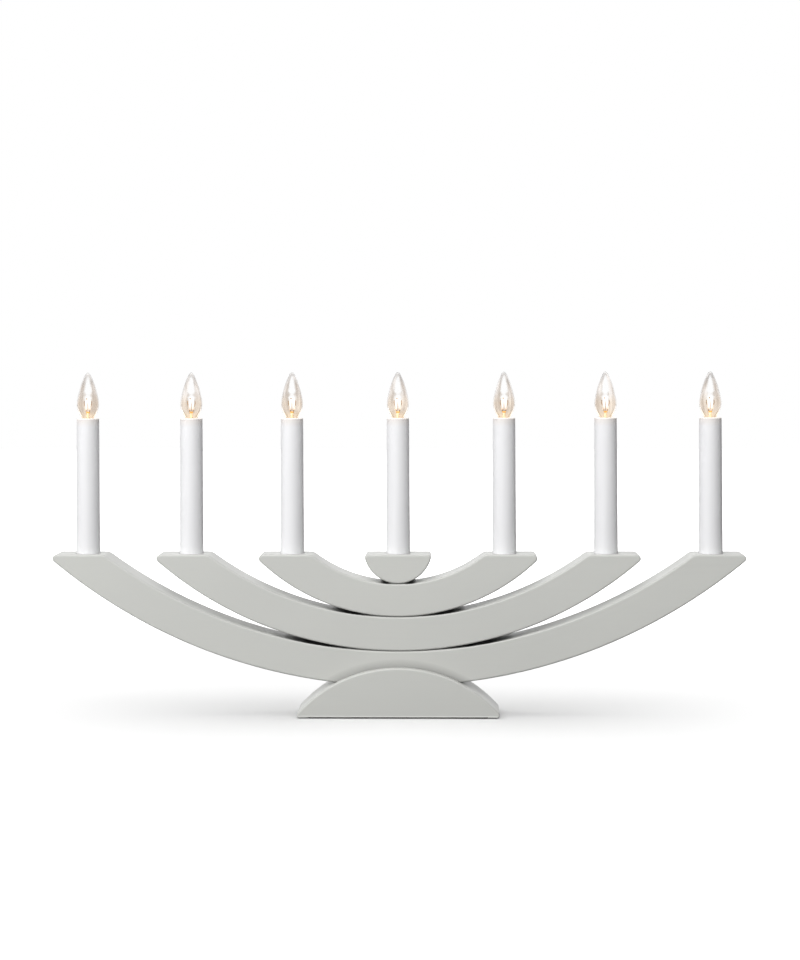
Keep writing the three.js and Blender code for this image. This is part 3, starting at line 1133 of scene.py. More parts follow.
def coil_tree() -> Tree:
    """Tree of a coiled wire along a standing hoop.

    Returns:
        The tree. Its sizes are in metres.
    """
    sizes = dict.fromkeys(("Span", "Rise", "Bottom", "Coil", "Turns", "Wire"), "Float")
    draft = GeometryDraft("coiled_filament", sizes)
    given = draft.given
    arc = draft.add(
        "GeometryNodeCurveArc",
        Resolution=COIL_POINTS,
        Radius=1.0,
        Start_Angle=0.0,
        Sweep_Angle=math.pi,
    )
    half = draft.sum("MULTIPLY", given["Span"], 0.5)
    hoop = draft.add(
        "GeometryNodeTransform",
        Geometry=arc.outputs["Curve"],
        Scale=draft.add("ShaderNodeCombineXYZ", X=half, Y=given["Rise"], Z=1.0).outputs[0],
        Rotation=(UP, 0, 0),
        Translation=draft.add("ShaderNodeCombineXYZ", Z=given["Bottom"]).outputs[0],
    )
    share = draft.add("GeometryNodeSplineParameter").outputs["Factor"]
    angle = draft.sum("MULTIPLY", draft.sum("MULTIPLY", share, given["Turns"]), FULL_TURN)
    tangent = draft.add("GeometryNodeInputTangent").outputs[0]
    across = (0.0, 1.0, 0.0)
    beside = draft.along("CROSS_PRODUCT", tangent, across)
    swing = draft.along(
        "ADD",
        draft.along("SCALE", across, draft.sum("COSINE", angle)),
        draft.along("SCALE", beside, draft.sum("SINE", angle)),
    )
    coil = draft.add(
        "GeometryNodeSetPosition",
        Geometry=hoop.outputs["Geometry"],
        Offset=draft.along("SCALE", swing, given["Coil"]),
    )
    wire = draft.add(
        "GeometryNodeCurvePrimitiveCircle", Resolution=WIRE_SIDES, Radius=given["Wire"]
    )
    body = draft.add(
        "GeometryNodeCurveToMesh",
        Curve=coil.outputs["Geometry"],
        Profile_Curve=wire.outputs["Curve"],
        Fill_Caps=True,
    )
    return draft.close(body.outputs["Mesh"])


def rolled(
    radius: float, depth: float, bottom: float, length: float, wall: float, finish: Finish
) -> Mesh:
    """A closed sleeve of sheet metal with a rolled thread.

    Args:
        radius: of the thread's crests.
        depth: of its grooves.
        bottom: height of its lower end.
        length: of the sleeve.
        wall: thickness of the sheet.
        finish: what it is finished in.

    Returns:
        The sleeve's mesh.
    """
    tree = bpy.data.node_groups.get("rolled_thread") or thread_tree()
    base = object_of("sheet", bpy.data.meshes.new("sheet"))
    sizes = {"Radius": radius, "Depth": depth, "Pitch": THREAD_PITCH}
    grown(base, tree, sized(sizes | {"Length": length, "Bottom": bottom}, finish))
    thickness = base.modifiers.new("wall", "SOLIDIFY")
    thickness.thickness = wall * MM
    thickness.offset = -1
    thickness.use_rim = True
    return smoothed(baked(base))


@dataclass
class WoodenStand:
    """Three nested crescents and a half-disc cup, stacked on a slotted half-moon foot."""

    insets: Triple = (13.6, 13.6, 14.9)
    thicknesses: Triple = (25.1, 24.4, 23.5)
    flat_width: float = 42.4
    bore_depth: float = 10.0
    bore_radius: float = 9.05
    bore_sides: int = 64
    tip_round: float = 2.82
    heel_round: float = 7.0
    depth: float = 28.0
    edge_round: float = 1.3
    edge_slant: Pair = (0.2, 0.96)
    arc_seat: float = 22.2
    stack_gap: float = 0.3
    flat_level: float = 117.0
    cup_half_width: float = 24.5
    cup_corner_round: float = 2.2
    foot_half_width: float = 75.6
    foot_top: float = 36.0
    foot_depth: float = 40.0
    foot_corner_round: float = 2.2
    foot_clear: float = 0.05
    groove_half: float = 65.1
    groove_top: float = 1.0
    slot_gap: float = 0.3
    dowel_hole: float = 3.2
    dowel_grip: float = 8.2
    hole_sides: int = 32
    screw_offset: float = 20.0
    screw_hole: tuple[Pair, ...] = (
        (0, 0.5),
        (4.2, 0.5),
        (4.2, 1.2),
        (2.2, 4.2),
        (2.2, 29.4),
        (0, 34.4),
    )
    curve_step: float = 2.2
    corner_steps: int = 8
    edge_steps: int = 6
    hold: float = 0.25

    def bottom(self, level: int) -> float:
        """Height of a stacked piece's underside on the centre line, from the lower arc up."""
        return self.arc_seat + sum(self.thicknesses[:level]) + level * self.stack_gap

    @staticmethod
    def radius_through(half_width: float, rise: float) -> float:
        """Radius of a circle, lowest on the centre line, through a point beside and above it."""
        return (half_width**2 + rise**2) / (2 * rise)

    def along_circle(
        self,
        centre: Pair,
        radius: float,
        start: float,
        end: float,
        side: int = 1,
        steps: int = 0,
    ) -> list[RimPoint]:
        """Rim points along a circle.

        Args:
            centre: the circle's centre.
            radius: of the circle.
            start: the first angle.
            end: the last angle.
            side: 1 where the wood is inside the circle, -1 where it is outside.
            steps: pieces that the curve is cut into; 0 follows curve_step.

        Returns:
            The points, both ends among them.
        """
        x, z = centre
        steps = steps or max(2, math.ceil(abs(end - start) * radius / self.curve_step))
        points = []
        for step in range(steps + 1):
            angle = start + (end - start) * step / steps
            c, s = math.cos(angle), math.sin(angle)
            points.append(RimPoint(x + radius * c, z + radius * s, side * c, side * s))
        return points

    def along_flat(self, start: float, end: float, level: float) -> list[RimPoint]:
        """Rim points along a flat top.

        Args:
            start: where it starts.
            end: where it ends.
            level: its height.

        Returns:
            The points between the two ends.
        """
        steps = max(2, math.ceil(abs(end - start) / self.curve_step))
        spots = [start + (end - start) * step / steps for step in range(1, steps)]
        return [RimPoint(x, level, 0, 1) for x in spots]

    @staticmethod
    def rounding(z: float, radius: float, level: float, corner: float, side: int) -> Pair:
        """Centre and angle of a corner between a circle on the middle and a flat.

        Args:
            z: the circle's centre.
            radius: of the circle.
            level: of the flat.
            corner: radius of the corner.
            side: -1 inside the circle, 1 outside.

        Returns:
            The corner's centre beside the middle, and its angle from the circle's centre.
        """
        x = math.sqrt((radius + side * corner) ** 2 - (level - corner - z) ** 2)
        return x, math.atan2(level - corner - z, x)

    @staticmethod
    def closed(right: list[RimPoint]) -> list[RimPoint]:
        """Closes a right half, which runs from the middle back to it, with its mirror image."""
        return right + [point.mirrored() for point in reversed(right[1:-1])]

    def underside_radius(self, level: int) -> float:
        """Radius of a crescent's underside."""
        half_width = REACHES[level] - self.insets[level] + self.flat_width
        return self.radius_through(half_width, self.flat_level - self.bottom(level))

    def crescent_rim(self, level: int) -> list[RimPoint]:
        """Outline of a crescent with flat tips.

        Args:
            level: the crescent, counted from the lower one.

        Returns:
            The outline.
        """
        flat, steps = self.flat_level, self.corner_steps
        bottom = self.bottom(level)
        top = bottom + self.thicknesses[level]
        outer = self.underside_radius(level)
        inner = self.radius_through(REACHES[level] - self.insets[level], flat - top)
        tip_x, tip = self.rounding(bottom + outer, outer, flat, self.tip_round, -1)
        heel_x, heel = self.rounding(top + inner, inner, flat, self.heel_round, 1)
        tip_spot = (tip_x, flat - self.tip_round)
        heel_spot = (heel_x, flat - self.heel_round)
        return self.closed(
            self.along_circle((0, bottom + outer), outer, DOWN, tip)
            + self.along_circle(tip_spot, self.tip_round, tip, UP, steps=steps)[1:]
            + self.along_flat(tip_x, heel_x, flat)
            + self.along_circle(heel_spot, self.heel_round, UP, math.pi + heel, steps=steps)
            + self.along_circle((0, top + inner), inner, heel, DOWN, side=-1)[1:]
        )

    def segment_rim(
        self, half_width: float, bottom: float, level: float, corner: float
    ) -> list[RimPoint]:
        """Outline of a disc segment with its round side down.

        Args:
            half_width: at the flat, before its corners are rounded.
            bottom: its lowest point.
            level: of the flat.
            corner: radius of its corners.

        Returns:
            The outline.
        """
        radius = self.radius_through(half_width, level - bottom)
        x, angle = self.rounding(bottom + radius, radius, level, corner, -1)
        spot = (x, level - corner)
        return self.closed(
            self.along_circle((0, bottom + radius), radius, DOWN, angle)
            + self.along_circle(spot, corner, angle, UP, steps=self.corner_steps)[1:]
            + self.along_flat(x, 0, level)
            + [RimPoint(0, level, 0, 1)]
        )

    def slab(self, rim: list[RimPoint], depth: float, rounding: float = 0.0) -> BMesh:
        """Upright slab of an outline, with its front and back edges rounded.

        Args:
            rim: the outline.
            depth: from front to back.
            rounding: radius of the edges; 0 leaves them sharp.

        Returns:
            The slab's mesh, in metres.
        """
        half = depth / 2
        front = [(0.0, -half)]
        if rounding > 0:
            front = [(rounding + self.hold, -half)]
            for step in range(self.edge_steps + 1):
                angle = UP * step / self.edge_steps
                inset = rounding * (1 - math.sin(angle))
                front.append((inset, rounding * (1 - math.cos(angle)) - half))
            front.append((0.0, rounding + self.hold - half))
        bands = front + [(inset, -y) for inset, y in reversed(front)]
        outlines = []
        for inset, y in bands:
            outlines.append([Vector((p.x - p.nx * inset, y, p.z - p.nz * inset)) for p in rim])
        return lofted(outlines)

    @staticmethod
    def bore(profile: Profile, sides: int, x: float = 0.0) -> BMesh:
        """Cutter of a round hole.

        Args:
            profile: radius and height of its points.
            sides: facets round it.
            x: its place beside the middle.

        Returns:
            The cutter.
        """
        cutter = turned(profile, sides)
        bmesh.ops.translate(cutter, verts=cutter.verts, vec=Vector((x * MM, 0, 0)))
        return cutter

    @staticmethod
    def straight(radius: float, middle: float, half: float) -> Profile:
        """Profile of a straight hole, to this far below and above its middle."""
        low, high = middle - half, middle + half
        return [(0, low), (radius, low), (radius, high), (0, high)]

    def candle_bore(self, x: float) -> BMesh:
        """Cutter of a blind bore for a candle."""
        profile = self.straight(self.bore_radius, self.flat_level, self.bore_depth)
        return self.bore(profile, self.bore_sides, x)

    def dowel_bore(self, level: int) -> BMesh:
        """Cutter of the dowel hole across the glue line under a stacked piece.

        Args:
            level: the piece, counted from the lower arc.

        Returns:
            The cutter.
        """
        glue_line = self.bottom(level) - self.stack_gap / 2
        profile = self.straight(self.dowel_hole, glue_line, self.dowel_grip)
        return self.bore(profile, self.hole_sides)

    def screw_bores(self) -> list[BMesh]:
        """Cutters of the countersunk screw holes up through the foot."""
        profile = list(self.screw_hole)
        return [self.bore(profile, self.hole_sides, side * self.screw_offset) for side in (-1, 1)]

    def crescent(self, level: int, holes: list[BMesh]) -> Mesh:
        """A crescent with a candle bore at each tip.

        Args:
            level: the crescent, counted from the lower one.
            holes: cutters of the holes at its middle.

        Returns:
            The crescent's mesh.
        """
        body = self.slab(self.crescent_rim(level), self.depth, self.edge_round)
        reach = REACHES[level]
        return carved(body, [self.candle_bore(-reach), self.candle_bore(reach), *holes])

    def cup(self) -> Mesh:
        """The half-disc block that carries the middle candle.

        Returns:
            The block's mesh.
        """
        rim = self.segment_rim(
            self.cup_half_width, self.bottom(3), self.flat_level, self.cup_corner_round
        )
        body = self.slab(rim, self.depth, self.edge_round)
        return carved(body, [self.candle_bore(0), self.dowel_bore(3)])

    def foot(self) -> Mesh:
        """The half-moon block, flat side down, slotted for the lower arc and grooved for the pad.

        Returns:
            The block's mesh.
        """
        rim = self.segment_rim(
            self.foot_half_width, -self.foot_top, -self.foot_clear, self.foot_corner_round
        )
        body = self.slab([p.upturned() for p in rim], self.foot_depth, self.edge_round)
        radius = self.underside_radius(0) + self.slot_gap
        end = DOWN + math.asin(self.foot_half_width / radius)
        centre = (0, self.arc_seat - self.slot_gap + radius)
        half_slot = self.along_circle(centre, radius, DOWN, end)
        half_slot += [RimPoint(x, self.flat_level, 0, 1) for x in (self.foot_half_width, 0)]
        slot = self.slab(self.closed(half_slot), self.depth + 2 * self.slot_gap)
        sides = [RimPoint(x * self.groove_half, z * self.groove_top, 0, 0) for x, z in SQUARE]
        groove = self.slab(sides, 2 * self.foot_depth)
        return carved(body, [slot, groove, *self.screw_bores()])

    def mark_edges(self, mesh: Mesh) -> None:
        """Stores on each point whether it lies on a rounded edge, which the paint darkens as
        painted shade.

        Args:
            mesh: the piece's mesh.
        """
        low, high = self.edge_slant
        edge = mesh.attributes.new("edge", "FLOAT", "POINT")
        for vertex in mesh.vertices:
            edge.data[vertex.index].value = float(low < abs(vertex.normal.y) < high)

    def build(self) -> None:
        """Builds and dresses the wooden pieces."""
        shapes = {
            "foot": self.foot(),
            "lower_arc": self.crescent(0, [*self.screw_bores(), self.dowel_bore(1)]),
            "middle_arc": self.crescent(1, [self.dowel_bore(1), self.dowel_bore(2)]),
            "upper_arc": self.crescent(2, [self.dowel_bore(2), self.dowel_bore(3)]),
            "centre_cup": self.cup(),
        }
        for node, mesh in shapes.items():
            self.mark_edges(smoothed(mesh))
            paint, body = STAND_PAINTS[node], Body.STAND.named()
            presented("painted_" + node, mesh, paint, body, [node])


@dataclass
class Underside:
    """Felt pad under the foot, with the fasteners inside the stand."""

    half_length: float = 64.8
    half_depth: float = 19.6
    thickness: float = 0.95
    corner: float = 3.0
    edge: float = 0.25
    corner_steps: int = 8

    def pad(self) -> Mesh:
        """The felt pad, with round corners and soft edges.

        Returns:
            The pad's mesh.
        """
        rim = []
        for quarter in range(4):
            x, y = SQUARE[quarter - 2]
            centre = Vector(
                (x * (self.half_length - self.corner), y * (self.half_depth - self.corner), 0)
            )
            for step in range(self.corner_steps + 1):
                angle = UP * (quarter + step / self.corner_steps)
                rim.append((centre, Vector((math.cos(angle), math.sin(angle), 0))))
        below, above = self.edge, self.thickness - self.edge
        bands = ((self.edge, 0.0), (0.0, below), (0.0, above), (self.edge, self.thickness))
        outlines = []
        for inset, height in bands:
            lift = Vector((0, 0, height))
            outlines.append([spot + way * (self.corner - inset) + lift for spot, way in rim])
        return smoothed(settled(lofted(outlines)))

    def build(self) -> None:
        """Builds the pad and dresses the hidden dowels and screws, which keep their CAD shapes."""
        presented("wool_pad", self.pad(), FELT, Body.STAND.named(), ["felt_pad"])
        kept = dict.fromkeys(("dowel_lower", "dowel_middle", "dowel_upper"), BEECH)
        kept |= dict.fromkeys(("foot_screw_left", "foot_screw_right"), ZINC)
        for node, finish in kept.items():
            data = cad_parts[node].data
            data.materials.clear()
            data.materials.append(material_of(finish))
            log.info("%s: kept from the frame in %s", node, finish.name)


@dataclass
class CandleRow:
    """Seven places for candles; a piece's origin is the middle of its sleeve's rim."""

    rim_level: float = 215.4
    places: tuple[float, ...] = (*(-reach for reach in REACHES), 0.0, *reversed(REACHES))
    tree: Tree = field(default_factory=row_tree)

    def numbers(self) -> range:
        """The candles' numbers from the left."""
        return range(1, len(self.places) + 1)

    def stood(self, source: Piece, finish: Finish, station: int) -> Mesh:
        """Copies a piece to all places or to one.

        Args:
            source: the piece at the origin.
            finish: what it is finished in.
            station: 0 for all places, or a candle's number.

        Returns:
            The mesh in place.
        """
        points = bpy.data.meshes.new("places")
        points.from_pydata([(x * MM, 0, self.rim_level * MM) for x in self.places], [], [])
        base = object_of("row", points)
        values = {"Piece": source, "Station": station, "Finish": material_of(finish)}
        return baked(grown(base, self.tree, values))

    def fixed(self, name: str, mesh: Mesh, finish: Finish, node: str) -> None:
        """Stands a piece at all places, as one piece of the stand.

        Args:
            name: the piece's name.
            mesh: one copy at the origin.
            finish: what it is finished in.
            node: the CAD nodes' name, without its number.
        """
        source = object_of("source", mesh)
        row = self.stood(source, finish, 0)
        bpy.data.objects.remove(source)
        nodes = [f"{node}_{number}" for number in self.numbers()]
        presented(name, row, finish, Body.STAND.named(), nodes)

    def loose(
        self,
        name: str,
        mesh: Mesh,
        finish: Finish,
        body: Body,
        node: str = "",
    ) -> list[Piece]:
        """Stands a piece at all places, one for each bulb's own body.

        Args:
            name: the pieces' name, without a number.
            mesh: one copy at the origin.
            finish: what it is finished in.
            body: which of the bulb's bodies carries it.
            node: the CAD node that it stands for, without its number.

        Returns:
            The pieces from the left.
        """
        source = object_of("source", mesh)
        pieces = []
        for number in self.numbers():
            copy = self.stood(source, finish, number)
            nodes = [f"{node}_{number}"] if node else []
            label = f"{name}_{number}"
            pieces.append(presented(label, copy, finish, body.named(number), nodes))
        bpy.data.objects.remove(source)
        return pieces


@dataclass
class Sleeves:
    """White candle sleeves with the lamp holders and screw shells in their tops."""

    height: float = 98.4
    seat: float = 108.1
    base_radius: float = 8.7
    top_radius: float = 8.05
    wall: float = 1.0
    lip_inside: float = 4.95
    lip_thickness: float = 1.2
    rim_round: float = 0.6
    bend_round: float = 1.0
    soft_round: float = 0.3
    fine_round: float = 0.2
    base_round: float = 0.4
    stud_round: float = 0.1
    holder_outside: float = 6.85
    holder_inside: float = 5.55
    holder_top: float = -1.4
    holder_seat: float = -14.1
    holder_floor: float = 2.0
    skirt_radius: float = 4.5
    skirt_wall: float = 1.2
    skirt_length: float = 4.0
    stud_radius: float = 2.0
    stud_height: float = 1.0
    shell_outside: float = 5.35
    shell_wall: float = 0.3
    shell_length: float = 9.8
    shell_lift: float = 0.2
    thread_depth: float = 0.1
    sleeve_sides: int = 72
    holder_sides: int = 48

    def sleeve(self) -> Mesh:
        """A tapered sleeve, straight in its bore, with an inward lip at its rim.

        Returns:
            The sleeve's mesh.
        """
        corners = [
            Corner(self.base_radius, -self.seat, self.fine_round),
            Corner(self.base_radius, -self.height, self.bend_round),
            Corner(self.top_radius, 0, self.rim_round),
            Corner(self.lip_inside, 0, self.soft_round),
            Corner(self.lip_inside, -self.lip_thickness, self.fine_round),
            Corner(self.top_radius - self.wall, -self.lip_thickness, self.fine_round),
            Corner(self.base_radius - self.wall, -self.height, self.bend_round),
            Corner(self.base_radius - self.wall, -self.seat, self.fine_round),
        ]
        profile = softened(corners, closed=True)
        return smoothed(settled(turned(profile, self.sleeve_sides, closed=True)))

    def holder(self) -> Mesh:
        """A moulded cup with a contact stud in its floor and a skirt for the wires below.

        Returns:
            The holder's mesh.
        """
        under = self.holder_seat - self.holder_floor
        skirt_end = under - self.skirt_length
        skirt_inside = self.skirt_radius - self.skirt_wall
        stud_top = self.holder_seat + self.stud_height
        corners = [
            Corner(0, under),
            Corner(skirt_inside, under, self.soft_round),
            Corner(skirt_inside, skirt_end, self.fine_round),
            Corner(self.skirt_radius, skirt_end, self.fine_round),
            Corner(self.skirt_radius, under, self.soft_round),
            Corner(self.holder_outside, under, self.base_round),
            Corner(self.holder_outside, self.holder_top, self.soft_round),
            Corner(self.holder_inside, self.holder_top, self.soft_round),
            Corner(self.holder_inside, self.holder_seat, self.fine_round),
            Corner(self.stud_radius, self.holder_seat, self.stud_round),
            Corner(self.stud_radius, stud_top, self.fine_round),
            Corner(0, stud_top),
        ]
        return smoothed(settled(turned(softened(corners), self.holder_sides)))

    def shell(self) -> Mesh:
        """The brass screw shell that lines a holder."""
        seat, length = self.holder_seat + self.shell_lift, self.shell_length
        return rolled(self.shell_outside, self.thread_depth, seat, length, self.shell_wall, BRASS)

    def build(self, row: CandleRow) -> None:
        """Builds and dresses the pieces at every candle.

        Args:
            row: the candles' places.
        """
        row.fixed("candle_sleeves", self.sleeve(), SLEEVE_PLASTIC, "candle_tube")
        row.fixed("holder_cups", self.holder(), HOLDER_PLASTIC, "lamp_holder")
        row.fixed("screw_shells", self.shell(), BRASS, "socket_shell")


def upright(x: float, z: float, y: float = 0.0) -> Vector:
    """A point of the upright plane through the candles, or this far behind it."""
    return Vector((x, y, z))


@dataclass
class Bulbs:
    """Lit screw bulbs: cap, contact, clear flame-shaped glass, and a coil on its stem."""

    cap_radius: float = 4.7
    cap_top: float = -1.5
    cap_shoulder: float = -10.5
    cap_end: float = -11.8
    cap_wall: float = 0.3
    cap_end_radius: float = 2.7
    cap_sides: int = 48
    contact_hole: float = 1.6
    thread_depth: float = 0.42
    contact_radius: float = 2.3
    contact_top: float = -12.0
    contact_height: float = 0.9
    shank_radius: float = 1.4
    shank_length: float = 1.1
    button_round: float = 0.7
    button_edge: float = 0.15
    shank_round: float = 0.1
    neck_radius: float = 4.15
    neck_length: float = 4.0
    shoulder_pull: float = 2.2
    belly_radius: float = 8.0
    belly_height: float = 10.3
    belly_pull: float = 6.1
    flame_pull: float = 6.0
    tip_breadth: float = 3.0
    tip_height: float = 33.2
    glass_wall: float = 0.7
    tip_wall: float = 1.0
    glass_sides: int = 64
    lower_steps: int = 16
    upper_steps: int = 28
    stem_radius: float = 1.1
    stem_top: float = 3.6
    stem_flare: float = 3.0
    flare_radius: float = 3.2
    flare_round: float = 0.3
    flare_bend: float = 1.2
    head_round: float = 0.8
    small_sides: int = 32
    bead_half: float = 1.45
    bead_radius: float = 0.6
    bead_height: float = 4.2
    bead_sides: int = 20
    bead_steps: int = 6
    hoop_span: float = 2.7
    hoop_bottom: float = 5.8
    hoop_rise: float = 8.8
    coil_radius: float = 0.72
    coil_turns: float = 22.0
    wire_radius: float = 0.28
    lead_radius: float = 0.2
    lead_foot: float = 0.9
    lead_overlap: float = 0.5
    lead_bend: float = 0.8
    lead_steps: int = 8
    support_reach: float = 2.6
    support_top: float = 12.6
    support_bend: float = 8.6
    support_inset: float = 0.3
    support_rise: float = 1.2
    support_bow: float = 0.8
    support_steps: int = 14
    hook_clear: float = 0.3
    hook_aside: float = -0.1
    hook_height: float = 1.4
    hook_bow: float = 0.7
    hook_end: Pair = (0.5, -0.9)
    hook_share: float = 0.8
    clip_clear: float = 0.05
    clip_ends: tuple[Pair, Pair] = ((-0.9, 0.2), (-0.4, 0.8))
    clip_share: float = 2.2

    def wall(self, inset: float, tip_inset: float) -> Profile:
        """Wall of the glass from its neck to its tip.

        Args:
            inset: how far it is drawn in at its sides.
            tip_inset: how far it is drawn in at its tip.

        Returns:
            Points of radius and height.
        """
        neck = self.neck_radius - inset
        belly = self.belly_radius - inset
        tip = self.tip_height - tip_inset
        lower = bezier(
            Vector((neck, self.cap_top)),
            Vector((neck, self.cap_top + self.shoulder_pull)),
            Vector((belly, self.belly_height - self.belly_pull)),
            Vector((belly, self.belly_height)),
            self.lower_steps,
        )
        upper = bezier(
            Vector((belly, self.belly_height)),
            Vector((belly, self.belly_height + self.flame_pull)),
            Vector((self.tip_breadth, tip)),
            Vector((0, tip)),
            self.upper_steps,
        )
        neck_end = (neck, self.cap_top - self.neck_length)
        return [neck_end] + [tuple(spot) for spot in lower + upper[1:]]

    def glass(self) -> Mesh:
        """The clear envelope, open at the neck and thicker at its drawn tip."""
        wall = self.wall(0.0, 0.0) + self.wall(self.glass_wall, self.tip_wall)[::-1]
        return smoothed(settled(turned(wall, self.glass_sides, closed=True)))

    def stem(self) -> Mesh:
        """The flared glass stem in the neck, with a rounded head.

        Returns:
            The stem's mesh.
        """
        foot = self.cap_top - self.neck_length
        corners = [
            Corner(0, foot),
            Corner(self.flare_radius, foot, self.flare_round),
            Corner(self.stem_radius, foot + self.stem_flare, self.flare_bend),
            Corner(self.stem_radius, self.stem_top, self.head_round),
            Corner(0, self.stem_top),
        ]
        return smoothed(settled(turned(softened(corners), self.small_sides)))

    def bead(self) -> Mesh:
        """The glass bead across the stem's head, which holds the wires.

        Returns:
            The bead's mesh.
        """
        ball, steps = self.bead_radius, self.bead_steps
        end = []
        for step in range(steps + 1):
            angle = UP * step / steps
            end.append((ball * math.cos(angle), self.bead_half - ball + ball * math.sin(angle)))
        profile = [(radius, -height) for radius, height in reversed(end)] + end
        bar = turned(profile, self.bead_sides)
        spin = Matrix.Rotation(UP, 4, "Y")
        lift = Matrix.Translation((0, 0, self.bead_height * MM))
        bmesh.ops.transform(bar, matrix=lift @ spin, verts=bar.verts)
        return smoothed(settled(bar))

    def leads(self) -> Mesh:
        """Leads to the coil's ends, two side supports, a middle hook and a clip on the coil.

        Returns:
            The mesh of all the wires.
        """
        low, thin = self.bead_height, self.lead_radius
        wires = []
        for side in (-1, 1):
            end = upright(side * self.hoop_span / 2, self.hoop_bottom + self.lead_overlap)
            bend = upright(end.x, low + self.lead_bend)
            foot = upright(side * self.lead_foot, low)
            wires.append(swept(bezier(foot, bend, bend, end, self.lead_steps), thin))
            foot = upright(side * (self.bead_half - self.support_inset), low)
            rise = upright(foot.x, self.support_bend + self.support_rise)
            out = upright(side * (self.support_reach + self.support_bow), self.support_bend)
            end = upright(side * self.support_reach, self.support_top)
            wires.append(swept(bezier(foot, rise, out, end, self.support_steps), thin))
        top = self.hoop_bottom + self.hoop_rise - self.coil_radius - self.hook_clear
        hook = bezier(
            upright(self.hook_aside, top - self.hook_height),
            upright(self.hook_aside, top),
            upright(self.hook_bow, top),
            upright(self.hook_end[0], top + self.hook_end[1]),
            self.lead_steps,
        )
        wires.append(swept([upright(self.hook_aside, low), *hook], thin * self.hook_share))
        front = -(self.coil_radius + self.wire_radius + self.clip_clear)
        clip = [upright(x, top + rise, front) for x, rise in self.clip_ends]
        wires.append(swept(clip, thin * self.clip_share))
        return smoothed(merged([settled(wire) for wire in wires]))

    def coil(self) -> Mesh:
        """The coiled filament on its hoop.

        Returns:
            The coil's mesh.
        """
        base = object_of("coil", bpy.data.meshes.new("coil"))
        sizes = {
            "Span": self.hoop_span,
            "Rise": self.hoop_rise,
            "Bottom": self.hoop_bottom,
            "Coil": self.coil_radius,
            "Wire": self.wire_radius,
        }
        values = sized(sizes, FILAMENT) | {"Turns": self.coil_turns}
        return smoothed(baked(grown(base, coil_tree(), values)))

    def cap(self) -> Mesh:
        """The screw cap: a rolled thread on a coned end with a hole for the contact.

        Returns:
            The cap's mesh.
        """
        low, wall = self.cap_shoulder, self.cap_wall
        thread = rolled(self.cap_radius, self.thread_depth, low, self.cap_top - low, wall, NICKEL)
        profile = [
            (self.contact_hole, self.cap_end),
            (self.cap_end_radius, self.cap_end),
            (self.cap_radius, low),
            (self.cap_radius - wall, low),
            (self.cap_end_radius - wall, self.cap_end + wall),
            (self.contact_hole, self.cap_end + wall),
        ]
        cone = settled(turned(profile, self.cap_sides, closed=True))
        return smoothed(merged([thread, cone]))

    def contact(self) -> Mesh:
        """The centre contact: a rounded button on a shank.

        Returns:
            The contact's mesh.
        """
        low = self.contact_top - self.contact_height
        shank_top = self.contact_top + self.shank_length
        corners = [
            Corner(0, low),
            Corner(self.contact_radius, low, self.button_round),
            Corner(self.contact_radius, self.contact_top, self.button_edge),
            Corner(self.shank_radius, self.contact_top, self.shank_round),
            Corner(self.shank_radius, shank_top, self.shank_round),
            Corner(0, shank_top),
        ]
        return smoothed(settled(turned(softened(corners), self.small_sides)))

    def build(self, row: CandleRow) -> list[Piece]:
        """Builds and dresses the seven bulbs.

        Args:
            row: the candles' places.

        Returns:
            The clear pieces.
        """
        bulb, wire, glass = Body.BULB, Slot.FILAMENT, Slot.GLASS
        row.loose("screw_cap", self.cap(), NICKEL, bulb, "bulb_cap")
        row.loose("cap_contact", self.contact(), SOLDER, Body.LIFT, "bulb_contact")
        row.loose("coil", self.coil(), FILAMENT, bulb, "bulb_filament")
        row.loose("lead_wires", self.leads(), LEAD_WIRE, bulb)
        row.loose("glass_bead", self.bead(), BEAD, bulb)
        row.loose("glass_stem", self.stem(), STEM_GLASS, bulb)
        clear = row.loose("flame_glass", self.glass(), BULB_GLASS, bulb, "bulb_glass")
        for piece in clear:
            piece.visible_shadow = False
            piece.visible_diffuse = False
        return clear


class Target(Enum):
    """What a lamp lights."""

    OBJECT = "EXCLUDE"
    FLOOR = "INCLUDE"


class Lamp(NamedTuple):
    """Soft rectangular lamp that points at the middle of the object."""

    name: str
    place: Triple
    size: Pair
    power: float
    target: Target = Target.OBJECT
    tint: Triple = (1, 1, 1)


